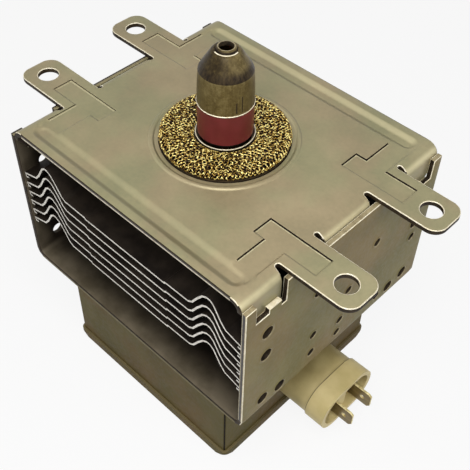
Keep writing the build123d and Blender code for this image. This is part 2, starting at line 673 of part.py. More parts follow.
def shell_points(anode_end, way, neck_end, seat):
    """Outline of a shell: a flat flange on the anode's end, and a neck that ends in a ceramic's seat."""
    return [
        (NECK_INNER_RADIUS, anode_end),
        (ANODE_OUTER_RADIUS, anode_end),
        (ANODE_OUTER_RADIUS, anode_end + way * SHELL_THICKNESS),
        (NECK_FOOT_RADIUS, anode_end + way * SHELL_THICKNESS),
        (NECK_OUTER_RADIUS, anode_end + way * (SHELL_THICKNESS + NECK_FOOT_RISE)),
        (NECK_OUTER_RADIUS, neck_end),
        (CERAMIC_SEAT_RADIUS, neck_end),
        (CERAMIC_SEAT_RADIUS, seat),
        (NECK_INNER_RADIUS, seat),
    ]


def antenna_cap():
    """Drawn cap whose dome ends in a rim round a hole."""
    side = CAP_RADIUS - CAP_SHEET
    rim_foot = CAP_TOP - CAP_RIM_HEIGHT
    hole_foot = CAP_TOP - CAP_HOLE_DEPTH
    narrowing = CAP_RADIUS - CAP_RIM_RADIUS
    rise = rim_foot - CAP_SHOULDER
    out_r = rise / hypot(narrowing, rise)
    out_z = narrowing / hypot(narrowing, rise)
    middle_r = (CAP_RADIUS + CAP_RIM_RADIUS) / 2 + CAP_DOME_BULGE * out_r
    middle_z = (CAP_SHOULDER + rim_foot) / 2 + CAP_DOME_BULGE * out_z
    inside_middle = (middle_r - CAP_SHEET * out_r, middle_z - CAP_SHEET * out_z)
    outer = Line((CAP_RADIUS, ANTENNA_CERAMIC_TOP), (CAP_RADIUS, CAP_SHOULDER))
    dome = ThreePointArc((CAP_RADIUS, CAP_SHOULDER), (middle_r, middle_z), (CAP_RIM_RADIUS, rim_foot))
    rim = Polyline(
        (CAP_RIM_RADIUS, rim_foot),
        (CAP_RIM_RADIUS - CAP_RIM_CHAMFER, CAP_TOP),
        (CAP_HOLE_RADIUS, CAP_TOP),
        (CAP_HOLE_RADIUS, hole_foot),
    )
    dome_inside = ThreePointArc((side, CAP_SHOULDER), inside_middle, (CAP_HOLE_RADIUS, hole_foot))
    inner = Line((side, CAP_SHOULDER), (side, ANTENNA_CERAMIC_TOP))
    foot = Line((side, ANTENNA_CERAMIC_TOP), (CAP_RADIUS, ANTENNA_CERAMIC_TOP))
    face = make_face(outer + dome + rim + dome_inside + inner + foot)
    return revolve(Plane.XZ * face, Axis.Z, 360)


def exhaust_tube():
    """Copper cup on the antenna ceramic, with the tube that was pinched shut above it."""
    cup = CAP_RADIUS - CAP_SHEET
    bore = TUBE_RADIUS - TUBE_WALL
    body = turned([
        (bore, ANTENNA_CERAMIC_TOP),
        (cup, ANTENNA_CERAMIC_TOP),
        (cup, TUBE_CUP_TOP),
        (cup - TUBE_WALL, TUBE_CUP_TOP),
        (cup - TUBE_WALL, ANTENNA_CERAMIC_TOP + TUBE_WALL),
        (TUBE_RADIUS, ANTENNA_CERAMIC_TOP + TUBE_WALL),
        (TUBE_RADIUS, TUBE_PINCH_START),
        (bore, TUBE_PINCH_START),
    ])
    round_end = Pos(0, 0, TUBE_PINCH_START) * Circle(TUBE_RADIUS)
    flat_end = SlotOverall(2 * TUBE_PINCH_HALF_WIDTH, 2 * TUBE_PINCH_HALF_THICKNESS)
    return body + loft([round_end.face(), (Pos(0, 0, TUBE_PINCH_TOP) * flat_end).face()])


def antenna_lead():
    """Rod from the first vane through the pole piece and up the neck to the pinch."""
    return round_wire([
        (ANTENNA_LEAD_X, 0, VANE_TOP),
        (ANTENNA_LEAD_X, 0, ANTENNA_LEAD_BEND),
        (0, 0, ANTENNA_LEAD_CENTRED),
        (0, 0, TUBE_PINCH_START),
    ], ANTENNA_LEAD_RADIUS)


def filament():
    rise = HAT_FACE - LOWER_HAT_FACE - 4 * FILAMENT_WIRE
    steps = FILAMENT_TURNS * FILAMENT_STEPS
    points = [(FILAMENT_RADIUS, 0, LOWER_HAT_FACE)]
    for i in range(steps + 1):
        angle = 2 * pi * i / FILAMENT_STEPS
        z = LOWER_HAT_FACE + 2 * FILAMENT_WIRE + rise * i / steps
        points.append((FILAMENT_RADIUS * cos(angle), FILAMENT_RADIUS * sin(angle), z))
    points.append((FILAMENT_RADIUS, 0, HAT_FACE))
    return wire(points, FILAMENT_WIRE, 6)


def stem_ceramic():
    top = LOWER_NECK_BOTTOM + CERAMIC_SEAT
    stem = post(CERAMIC_RADIUS, STEM_BOTTOM, top) - post(STEM_BORE_RADIUS, STEM_BOTTOM + STEM_FLOOR, top)
    for sy in (-1, 1):
        stem -= post(STEM_LEAD_HOLE, STEM_BOTTOM, top, 0, sy * LEAD_OFFSET)
    return stem


def stem_terminal(side):
    """Half disc under the stem with a tab for the choke."""
    bottom = STEM_BOTTOM - TERMINAL_THICKNESS
    r = TERMINAL_RADIUS
    disc = post(r, bottom, STEM_BOTTOM) & block(-r, r, side * TERMINAL_GAP, side * r, bottom, STEM_BOTTOM)
    half = TERMINAL_TAB_WIDTH / 2
    tab_y = side * (TERMINAL_TAB_Y + TERMINAL_TAB_THICKNESS)
    disc += block(-half, half, side * TERMINAL_TAB_Y, tab_y, TERMINAL_TAB_BOTTOM, bottom)
    return disc - post(LEAD_RADIUS, bottom, STEM_BOTTOM, 0, side * LEAD_OFFSET)


def gasket_ring():
    return turned([
        (NECK_OUTER_RADIUS, 0),
        (GASKET_RING_RADIUS, 0),
        (GASKET_RING_RADIUS, GASKET_RING_THICKNESS),
        (GASKET_COLLAR_RADIUS, GASKET_RING_THICKNESS),
        (GASKET_COLLAR_RADIUS, GASKET_COLLAR_TOP),
        (NECK_OUTER_RADIUS, GASKET_COLLAR_TOP),
    ])


def mesh_gasket():
    """Ring of knitted wire with shallow radial grooves between its stitches."""
    width = GASKET_OUTER_RADIUS - GASKET_INNER_RADIUS
    middle = (GASKET_OUTER_RADIUS + GASKET_INNER_RADIUS) / 2
    top = GASKET_RING_THICKNESS + GASKET_HEIGHT
    section = Pos(middle, top - GASKET_HEIGHT / 2) * RectangleRounded(width, GASKET_HEIGHT, GASKET_ROUND)
    ring = revolve(Plane.XZ * section, Axis.Z, 360)
    side = GASKET_GROOVE_DEPTH * 2 ** 0.5
    groove = Pos(middle, 0, top) * Rot(45, 0, 0) * Box(width - 2 * GASKET_ROUND, side, side)
    for i in range(GASKET_RIDGES):
        ring -= Rot(0, 0, 360 / GASKET_RIDGES * i) * groove
    return ring


def rounded_box(half_x, half_y, z0, z1, corner):
    outline = Pos(0, 0, z0) * RectangleRounded(2 * half_x, 2 * half_y, corner)
    return extrude(outline, amount=z1 - z0)


def filter_box():
    """Folded box that is open below, with four burrs that are flared over the floor of the yoke."""
    box = rounded_box(BOX_HALF_X, BOX_HALF_Y, BOX_BOTTOM, BOX_TOP, BOX_CORNER)
    inner_x = BOX_HALF_X - BOX_SHEET
    inner_y = BOX_HALF_Y - BOX_SHEET
    box -= rounded_box(inner_x, inner_y, BOX_BOTTOM, BOX_TOP - BOX_SHEET, BOX_CORNER - BOX_SHEET)
    box -= post(BOX_HOLE_RADIUS, BOX_TOP - BOX_SHEET, BOX_TOP)
    head = YOKE_FLOOR + BURR_HEAD_HEIGHT
    for x, y in burr_places():
        box += post(BURR_RADIUS, BOX_TOP, YOKE_FLOOR, x, y)
        box += post(BURR_HEAD_RADIUS, YOKE_FLOOR, head, x, y)
        box -= post(BURR_BORE_RADIUS, BOX_TOP - BOX_SHEET, head, x, y)
    wide = BODY_HALF_WIDTH + BODY_CLEARANCE
    high = BODY_HALF_HEIGHT + BODY_CLEARANCE
    box -= stadium_x(wide, high, inner_x - CUT, BOX_HALF_X + CUT, CONNECTOR_Z)
    for sy in (-1, 1):
        box -= bar_x(RIVET_RADIUS, inner_x - CUT, BOX_HALF_X + CUT, sy * RIVET_Y, CONNECTOR_Z)
    return box


def filter_lid():
    """Tray that is pressed over the foot of the box, with a slanting cut at each lower corner."""
    half_x = BOX_HALF_X + BOX_SHEET
    half_y = BOX_HALF_Y + BOX_SHEET
    rim_top = LID_BOTTOM + LID_RIM_HEIGHT
    lid = rounded_box(half_x, half_y, LID_BOTTOM, rim_top, BOX_CORNER + BOX_SHEET)
    lid -= rounded_box(BOX_HALF_X, BOX_HALF_Y, BOX_BOTTOM, rim_top, BOX_CORNER)
    cut_rise = LID_RIM_HEIGHT - LID_CORNER_TOP
    for sx in (-1, 1):
        for sy in (-1, 1):
            on_cut = Vector(sx * half_x, sy * (half_y - LID_CORNER_CUT), LID_BOTTOM)
            way = Vector(sx / LID_CORNER_CUT, sy / LID_CORNER_CUT, -1 / cut_rise)
            lid = split(lid, bisect_by=Plane(on_cut, z_dir=way), keep=Keep.BOTTOM)
    return lid


def capacitor_flange():
    plate = block(
        FLANGE_BACK_X, FLANGE_FACE_X, -FLANGE_HALF_Y, FLANGE_HALF_Y,
        CONNECTOR_Z - FLANGE_HALF_Z, CONNECTOR_Z + FLANGE_HALF_Z,
    )
    plate = fillet(plate.edges().filter_by(Axis.X), FLANGE_CORNER)
    for sy in (-1, 1):
        plate -= bar_x(FLANGE_HOLE_RADIUS, FLANGE_BACK_X, FLANGE_FACE_X, sy * TAB_Y, CONNECTOR_Z)
        plate -= bar_x(RIVET_RADIUS, FLANGE_BACK_X, FLANGE_FACE_X, sy * RIVET_Y, CONNECTOR_Z)
    return plate


def flange_rivets():
    rivets = []
    for sy in (-1, 1):
        y = sy * RIVET_Y
        rivet = bar_x(RIVET_RADIUS, FLANGE_BACK_X, BOX_HALF_X, y, CONNECTOR_Z)
        rivet += bar_x(RIVET_HEAD_RADIUS, BOX_HALF_X, BOX_HALF_X + RIVET_HEAD_HEIGHT, y, CONNECTOR_Z)
        rivet += bar_x(RIVET_HEAD_RADIUS, FLANGE_BACK_X - RIVET_HEAD_HEIGHT, FLANGE_BACK_X, y, CONNECTOR_Z)
        rivets.append(rivet)
    return Compound(children=rivets)


def capacitor_ceramic():
    body = stadium_x(CAPACITOR_HALF_WIDTH, CAPACITOR_HALF_HEIGHT, FLANGE_FACE_X, CAPACITOR_END_X, CONNECTOR_Z)
    for sy in (-1, 1):
        body -= bar_x(CAPACITOR_BORE, FLANGE_FACE_X, CAPACITOR_END_X, sy * TAB_Y, CONNECTOR_Z)
    return body


def capacitor_inner_case():
    case = stadium_x(CAPACITOR_HALF_WIDTH, CAPACITOR_HALF_HEIGHT, CASE_END_X, FLANGE_BACK_X, CONNECTOR_Z)
    inner_width = CAPACITOR_HALF_WIDTH - CASE_WALL
    inner_height = CAPACITOR_HALF_HEIGHT - CASE_WALL
    case -= stadium_x(inner_width, inner_height, CASE_END_X + CASE_WALL, FLANGE_BACK_X, CONNECTOR_Z)
    for sy in (-1, 1):
        case -= bar_x(ROD_RADIUS, CASE_END_X, FLANGE_BACK_X, sy * TAB_Y, CONNECTOR_Z)
    return case


def connector_housing():
    """Oval housing: a body through the box wall, a wider collar, and a socket round the tabs."""
    housing = stadium_x(BODY_HALF_WIDTH, BODY_HALF_HEIGHT, FLANGE_FACE_X, COLLAR_START_X, CONNECTOR_Z)
    housing += stadium_x(COLLAR_HALF_WIDTH, COLLAR_HALF_HEIGHT, COLLAR_START_X, CONNECTOR_END_X, CONNECTOR_Z)
    socket = stadium_x(SOCKET_HALF_WIDTH, SOCKET_HALF_HEIGHT, SOCKET_FLOOR_X, CONNECTOR_END_X, CONNECTOR_Z)
    socket -= block(
        SOCKET_FLOOR_X, RIB_END_X, -RIB_HALF_WIDTH, RIB_HALF_WIDTH,
        CONNECTOR_Z - COLLAR_HALF_HEIGHT, CONNECTOR_Z + COLLAR_HALF_HEIGHT,
    )
    housing -= socket
    wide = CAPACITOR_HALF_WIDTH + CAPACITOR_CLEARANCE
    high = CAPACITOR_HALF_HEIGHT + CAPACITOR_CLEARANCE
    housing -= stadium_x(wide, high, FLANGE_FACE_X, CAPACITOR_END_X, CONNECTOR_Z)
    for sy in (-1, 1):
        housing -= bar_x(ROD_RADIUS, CAPACITOR_END_X, SOCKET_FLOOR_X, sy * TAB_Y, CONNECTOR_Z)
    return housing


def feedthrough_rod(side):
    return bar_x(ROD_RADIUS, ROD_START_X, SOCKET_FLOOR_X, side * TAB_Y, CONNECTOR_Z)


def tab_terminal(side):
    y0 = side * TAB_Y - TAB_THICKNESS / 2
    y1 = side * TAB_Y + TAB_THICKNESS / 2
    half = TAB_HEIGHT / 2
    tab = block(SOCKET_FLOOR_X, TAB_END_X, y0, y1, CONNECTOR_Z - half, CONNECTOR_Z + half)
    tips = tab.edges().filter_by(Axis.Y).filter_by(lambda e: e.center().X > TAB_END_X - EQUAL)
    tab = chamfer(tips, TAB_TIP_CHAMFER)
    hole_x = TAB_END_X - TAB_HEIGHT / 2
    hole = Rot(90, 0, 0) * Cylinder(TAB_HOLE_RADIUS, 2 * TAB_THICKNESS)
    return tab - Pos(hole_x, side * TAB_Y, CONNECTOR_Z) * hole


def choke_coil(side):
    """Wire from the stem terminal through the turns to the feedthrough rod."""
    tab_x = -TERMINAL_TAB_WIDTH / 2
    tab_y = TERMINAL_TAB_Y + TERMINAL_TAB_THICKNESS / 2
    tab_z = (TERMINAL_TAB_BOTTOM + STEM_BOTTOM) / 2
    inset = CHOKE_Y - CHOKE_LEAD_INSET
    points = [
        (tab_x, tab_y, tab_z),
        (tab_x - CHOKE_TAIL, tab_y, tab_z),
        (CHOKE_START_X - CHOKE_LEAD_RUN, inset, CONNECTOR_Z + CHOKE_LEAD_LIFT),
    ]
    for i in range(CHOKE_TURNS * CHOKE_STEPS + 1):
        angle = pi + 2 * pi * i / CHOKE_STEPS
        x = CHOKE_START_X + CHOKE_PITCH * i / CHOKE_STEPS
        y = CHOKE_Y + CHOKE_RADIUS * cos(angle)
        points.append((x, y, CONNECTOR_Z + CHOKE_RADIUS * sin(angle)))
    points.append((points[-1][0] + CHOKE_LEAD_RUN, inset, CONNECTOR_Z))
    points.append((ROD_START_X - CHOKE_LEAD_RUN, TAB_Y, CONNECTOR_Z))
    points.append((ROD_START_X, TAB_Y, CONNECTOR_Z))
    coil = wire(points, CHOKE_WIRE, 6)
    return coil if side > 0 else mirror(coil, Plane.XZ)


def ferrite_core(side):
    end = CHOKE_START_X + CHOKE_PITCH * CHOKE_TURNS
    return bar_x(CORE_RADIUS, CHOKE_START_X - CORE_OVERHANG, end + CORE_OVERHANG, side * CHOKE_Y, CONNECTOR_Z)


def build_nodes():
    nodes = {
        "upper_yoke_plate": upper_yoke_plate(),
        "lower_yoke": lower_yoke(),
        "upper_magnet": magnet(UPPER_MAGNET_BOTTOM),
        "lower_magnet": magnet(LOWER_MAGNET_BOTTOM),
        "anode_cylinder": anode_cylinder(),
        "antenna_cap": antenna_cap(),
        "exhaust_tube": exhaust_tube(),
        "antenna_lead": antenna_lead(),
        "filament": filament(),
        "stem_ceramic": stem_ceramic(),
        "gasket_ring": gasket_ring(),
        "mesh_gasket": mesh_gasket(),
        "filter_box": filter_box(),
        "filter_lid": filter_lid(),
        "capacitor_flange": capacitor_flange(),
        "flange_rivets": flange_rivets(),
        "capacitor_ceramic": capacitor_ceramic(),
        "capacitor_inner_case": capacitor_inner_case(),
        "connector_housing": connector_housing(),
    }
    for i in range(FIN_COUNT):
        nodes[f"cooling_fin_{i + 1}"] = cooling_fin(i)
    for i in range(VANE_COUNT):
        nodes[f"anode_vane_{i + 1:02d}"] = anode_vane(i)
    for name, radius in (("inner", INNER_STRAP_RADIUS), ("outer", OUTER_STRAP_RADIUS)):
        nodes[f"upper_strap_{name}"] = strap(radius)
        nodes[f"lower_strap_{name}"] = mirrored(strap(radius), ANODE_MIDDLE)
    nodes["upper_pole_piece"] = pole_piece(True)
    nodes["lower_pole_piece"] = mirrored(pole_piece(False), ANODE_MIDDLE)
    upper_seat = UPPER_NECK_TOP - CERAMIC_SEAT
    lower_seat = LOWER_NECK_BOTTOM + CERAMIC_SEAT
    nodes["upper_shell"] = turned(shell_points(ANODE_TOP, 1, UPPER_NECK_TOP, upper_seat))
    nodes["lower_shell"] = turned(shell_points(ANODE_BOTTOM, -1, LOWER_NECK_BOTTOM, lower_seat))
    nodes["antenna_ceramic"] = tube(CERAMIC_RADIUS, ANTENNA_CERAMIC_BORE, upper_seat, ANTENNA_CERAMIC_TOP)
    nodes["upper_end_hat"] = tube(HAT_RADIUS, LEAD_RADIUS, HAT_FACE, HAT_FACE + HAT_HEIGHT)
    nodes["lower_end_hat"] = tube(HAT_RADIUS, LOWER_HAT_BORE, LOWER_HAT_FACE - HAT_HEIGHT, LOWER_HAT_FACE)
    lead_end = STEM_BOTTOM - TERMINAL_THICKNESS
    nodes["centre_lead"] = round_wire([
        (0, 0, HAT_FACE + HAT_HEIGHT),
        (0, 0, LEAD_BEND_TOP),
        (0, LEAD_OFFSET, LEAD_BEND_BOTTOM),
        (0, LEAD_OFFSET, lead_end),
    ], LEAD_RADIUS)
    nodes["side_lead"] = post(LEAD_RADIUS, lead_end, LOWER_HAT_FACE - HAT_HEIGHT, 0, -LEAD_OFFSET)
    for number, side in ((1, 1), (2, -1)):
        nodes[f"stem_terminal_{number}"] = stem_terminal(side)
        nodes[f"feedthrough_rod_{number}"] = feedthrough_rod(side)
        nodes[f"tab_terminal_{number}"] = tab_terminal(side)
        nodes[f"choke_coil_{number}"] = choke_coil(side)
        nodes[f"ferrite_core_{number}"] = ferrite_core(side)
    return nodes


os.makedirs("parts", exist_ok=True)
for node_name, shape in build_nodes().items():
    export_step(shape, f"parts/{node_name}.step")
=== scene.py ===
import json
import math

import bpy
import numpy as np
from mathutils import Matrix, Vector
from mathutils.geometry import delaunay_2d_cdt


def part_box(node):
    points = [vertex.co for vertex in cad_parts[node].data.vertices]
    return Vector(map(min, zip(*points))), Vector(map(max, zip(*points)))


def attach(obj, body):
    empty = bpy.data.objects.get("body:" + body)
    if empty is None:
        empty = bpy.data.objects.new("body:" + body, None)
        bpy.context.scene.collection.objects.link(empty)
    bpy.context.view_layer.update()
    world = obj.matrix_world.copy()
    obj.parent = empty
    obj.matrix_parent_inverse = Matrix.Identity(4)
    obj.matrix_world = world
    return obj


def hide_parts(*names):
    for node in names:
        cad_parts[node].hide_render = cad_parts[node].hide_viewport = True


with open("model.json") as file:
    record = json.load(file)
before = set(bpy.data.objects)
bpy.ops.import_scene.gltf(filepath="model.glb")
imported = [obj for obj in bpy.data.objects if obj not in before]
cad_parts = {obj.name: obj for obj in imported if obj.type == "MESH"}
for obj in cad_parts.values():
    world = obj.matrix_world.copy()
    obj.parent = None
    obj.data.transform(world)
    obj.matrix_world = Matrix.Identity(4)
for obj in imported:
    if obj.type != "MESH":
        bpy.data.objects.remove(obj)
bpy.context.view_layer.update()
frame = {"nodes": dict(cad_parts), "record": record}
nodes = frame["nodes"]

MM = 0.001
X, Y, Z = 0, 1, 2

# Sizes of the top plate, in millimetres, as in the part's source
SHEET = 1.6
PLATE_HALF_X = 44.76
PLATE_HALF_Y = 40.0
PLATE_ROLL = 3.6
FLANGE_BOTTOM = -12.8
EAR_X, EAR_Y, EAR_HOLE = 57.77, 17.48, 3.1
EAR_END, EAR_HALF, EAR_CORNER = 64.3, 6.5, 4.0
RELIEF, RELIEF_X = 1.6, 42.4
BORE = 10.5
CHANNEL_Y, CHANNEL_END, CHANNEL_HALF, CHANNEL_FLOOR, CHANNEL_DEPTH = 34.6, 40.75, 3.2, 0.9, 0.95
ARM_NEAR, ARM_FAR = 33.8, 40.8
TONGUE_NEAR, TONGUE_FAR, TONGUE_IN, TONGUE_OUT = 30.25, 50.95, 14.13, 20.83
BAND_DEPTH, BAND_STEP = 0.35, 0.32
LIP_IN, LIP_OUT, LIP_HEIGHT, LIP_CROWN = 19.9, 21.65, 0.4, 0.35
FLANGE_CUT_Y = 33.5

# Sizes of the lower yoke. A wall's top edge is a row of stretches from its middle outwards, each with its
# end along Y and its height. A wall's hole is a place along Y, a height above the bottom and a radius.
YOKE_HALF_X, YOKE_BOTTOM, YOKE_BEND = 46.36, -54.37, 3.2
WALL_PROFILE = ((25.3, -1.7), (27.1, -9.6), (31.6, -7.6), (36.3, -9.2), (40.0, -2.8))
WALL_HOLES = (
    (-31.8, 37.77, 2.0), (-31.8, 27.97, 2.0), (-31.9, 7.07, 2.0), (-24.7, 5.57, 2.0), (25.8, 5.97, 2.0),
    (32.8, 7.07, 2.0), (33.0, 29.67, 2.0), (-12.0, 35.97, 1.35), (13.5, 35.97, 1.35), (2.9, 24.17, 1.35),
    (33.2, 23.37, 1.35), (-11.5, 16.77, 1.35), (13.7, 16.37, 1.35), (1.0, 12.07, 1.35), (-11.5, 8.37, 1.35),
    (13.7, 8.37, 1.35), (0.5, 6.57, 1.35), (19.7, 6.57, 1.35),
)
BURR_X, BURR_Y, BURR = 29.0, 19.0, 2.6
PUNCHED_RIM = 0.2

# Sizes of the gasket, the antenna, the filter box and its tabs
GASKET_IN, GASKET_OUT, GASKET_LOW, GASKET_TOP = 8.75, 18.65, 0.5, 2.7
NECK, NECK_TOP, CERAMIC, CERAMIC_TOP, CAP = 8.32, 2.5, 7.86, 13.28, 7.84
BOX_X, BOX_Y, BOX_TOP, LID_TOP = 35.2, 35.0, -54.37, -88.85
CONNECTOR_Z, TAB_Y, TAB_START, TAB_END, TAB_HALF, TAB_SHEET = -75.3, 4.6, 45.0, 61.0, 3.175, 0.8

# Creases low on the cap: angle and width in degrees, depth, lowest and highest place
CAP_CREASES = ((-24.2, 2.2, 0.2, 13.9, 17.4), (-11.0, 1.8, 0.15, 13.9, 18.8))

# Knitted wire of the gasket: pitch of its rows, width of a loop, how far a loop swings across the row, rises
# and leans, how deep the rows lie in the gasket, and the radius and number of sides of the wire
ROW_PITCH, LOOP_WIDTH, LOOP_SWING, LOOP_RISE, LOOP_LEAN = 0.86, 1.2, 0.6, 0.14, 0.2
ROW_DEPTH, WIRE, WIRE_SIDES = 0.25, 0.14, 5

# Places worked out from the sizes above
FLAT_END = PLATE_HALF_X - PLATE_ROLL
ROLL_LENGTH = PLATE_ROLL * math.pi / 2
PLATE_END = FLAT_END + ROLL_LENGTH - FLANGE_BOTTOM - PLATE_ROLL
CHANNEL_EDGE = CHANNEL_Y - CHANNEL_HALF
YOKE_FLAT = YOKE_HALF_X - YOKE_BEND
YOKE_BEND_LENGTH = YOKE_BEND * math.pi / 2
WALL_MIDDLE = YOKE_HALF_X - SHEET / 2

# Limits of painted parts: the cut ends of the sheets along Y and the rounding before them, the strip of
# painted highlight inside a pressed step, the ring of painted shade at the gasket's foot, the tall parts
# of a wall's top, its notches and the tongue between them
CUT_END, ROUND_END = PLATE_HALF_Y - 0.05, PLATE_HALF_Y - 0.3
STEP_HIGHLIGHT = 0.62
SHADE_IN, SHADE_OUT = 18.3, GASKET_OUT + 0.15
WALL_TALL, NOTCH_LOW, NOTCH_TONGUE = -5.0, -12.0, WALL_PROFILE[2][1]

# Level direction of the corner between the front and the connector's side: pressed steps that rise towards
# it, and the side of the cap's bead that faces it, get painted highlight and shade
CORNER_X, CORNER_Y = 0.68, -0.73

# Camera, solved from the photograph: angles in degrees, places in metres, focal length in its pixels
AZIMUTH, ELEVATION, ROLL = 42.8918, 47.397, 1.583
AIM_Z, DISTANCE, SHIFT_RIGHT, SHIFT_UP = -0.025, 0.250572, 0.003201, -0.010632
FOCAL_PIXELS, PHOTO_PIXELS, SENSOR = 827.944, 470, 36.0

# Slots that thicken() gives: the face of a sheet, its back, its cut edge and the rounding of that edge
FACE, BACK, CUT, ROUNDING = 0, 1, 2, 3


# Camera and stage

def direction(azimuth, elevation):
    """Direction away from the object, from degrees. Azimuth 0 is -Y and 90 is +X."""
    a, e = math.radians(azimuth), math.radians(elevation)
    return Vector((math.sin(a) * math.cos(e), -math.cos(a) * math.cos(e), math.sin(e)))


def add_object(name, data):
    """New object in the scene."""
    thing = bpy.data.objects.new(name, data)
    bpy.context.scene.collection.objects.link(thing)
    return thing


def place_camera():
    """Puts the camera where the photograph was taken from."""
    back = direction(AZIMUTH, ELEVATION)
    right = (-back).cross(Vector((0, 0, 1))).normalized()
    up = right.cross(-back)
    roll = math.radians(ROLL)
    axis_x = math.cos(roll) * right + math.sin(roll) * up
    axis_y = -math.sin(roll) * right + math.cos(roll) * up
    data = bpy.data.cameras.new("camera")
    data.sensor_width = SENSOR
    data.lens = SENSOR * FOCAL_PIXELS / PHOTO_PIXELS
    data.clip_start = 0.01
    data.clip_end = 20
    camera = add_object("camera", data)
    camera.rotation_mode = "QUATERNION"
    camera.rotation_quaternion = Matrix((axis_x, axis_y, back)).transposed().to_quaternion()
    camera.location = Vector((0, 0, AIM_Z)) + back * DISTANCE + axis_x * SHIFT_RIGHT + axis_y * SHIFT_UP
    bpy.context.scene.camera = camera


def add_node(tree, kind, **values):
    """New node of a node tree, with its settings."""
    node = tree.nodes.new(kind)
    for key, value in values.items():
        setattr(node, key, value)
    return node


def show_through(tree, plain, lit):
    """Shows the plain shader to the camera and to glossy and clear surfaces, and the lit one to all else."""
    path = add_node(tree, "ShaderNodeLightPath")
    seen = path.outputs["Is Camera Ray"]
    for ray in ("Is Glossy Ray", "Is Transmission Ray"):
        either = add_node(tree, "ShaderNodeMath", operation="MAXIMUM")
        tree.links.new(seen, either.inputs[0])
        tree.links.new(path.outputs[ray], either.inputs[1])
        seen = either.outputs[0]
    mix = add_node(tree, "ShaderNodeMixShader")
    tree.links.new(seen, mix.inputs[0])
    tree.links.new(lit, mix.inputs[1])
    tree.links.new(plain, mix.inputs[2])
    return mix.outputs[0]


def make_floor():
    """Pale floor just under the lid of the filter box."""
    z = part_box("filter_lid")[0][2] - 0.1 * MM
    half = 3.0
    corners = [(-half, -half, z), (half, -half, z), (half, half, z), (-half, half, z)]
    mesh = bpy.data.meshes.new("floor")
    mesh.from_pydata(corners, [], [(0, 1, 2, 3)])
    floor = add_object("floor", mesh)

    material = bpy.data.materials.new("floor")
    material.use_nodes = True
    tree = material.node_tree
    tree.nodes.clear()
    output = add_node(tree, "ShaderNodeOutputMaterial")
    diffuse = add_node(tree, "ShaderNodeBsdfDiffuse")
    diffuse.inputs["Color"].default_value = (0.86, 0.86, 0.86, 1)
    glow = add_node(tree, "ShaderNodeEmission")
    glow.inputs["Strength"].default_value = 1.0
    shown = add_node(tree, "ShaderNodeMixShader")
    shown.inputs[0].default_value = 0.88
    tree.links.new(diffuse.outputs[0], shown.inputs[1])
    tree.links.new(glow.outputs[0], shown.inputs[2])
    tree.links.new(show_through(tree, shown.outputs[0], diffuse.outputs[0]), output.inputs[0])
    mesh.materials.append(material)


def make_world():
    """World that looks white and lights the object faintly."""
    world = bpy.data.worlds.new("studio")
    world.use_nodes = True
    bpy.context.scene.world = world
    tree = world.node_tree
    tree.nodes.clear()
    output = add_node(tree, "ShaderNodeOutputWorld")
    shaders = []
    for strength in (1.0, 0.22):
        background = add_node(tree, "ShaderNodeBackground")
        background.inputs["Color"].default_value = (1, 1, 1, 1)
        background.inputs["Strength"].default_value = strength
        shaders.append(background.outputs[0])
    tree.links.new(show_through(tree, *shaders), output.inputs[0])


def make_lamps():
    """Soft lamps above, at the camera's right and at its left."""
    for name, azimuth, elevation, distance, size, power in (
        ("lamp_over", 38, 58, 0.3, 0.2, 0.64),
        ("lamp_right", 95, 32, 0.9, 0.5, 1.4),
        ("lamp_left", -40, 35, 1.0, 0.5, 0.8),
    ):
        way = direction(azimuth, elevation)
        data = bpy.data.lights.new(name, "AREA")
        data.shape = "DISK"
        data.size = size
        data.energy = power
        lamp = add_object(name, data)
        lamp.location = Vector((0, 0, -0.03)) + way * distance
        lamp.rotation_mode = "QUATERNION"
        lamp.rotation_quaternion = way.to_track_quat("Z", "Y")


# Finishes by name, with colours as three numbers from 0 to 255

finishes = {}


def linear(colour):
    """Linear value of a colour."""
    out = []
    for c in colour:
        c = c / 255
        out.append(c / 12.92 if c <= 0.04045 else ((c + 0.055) / 1.055) ** 2.4)
    return (*out, 1.0)


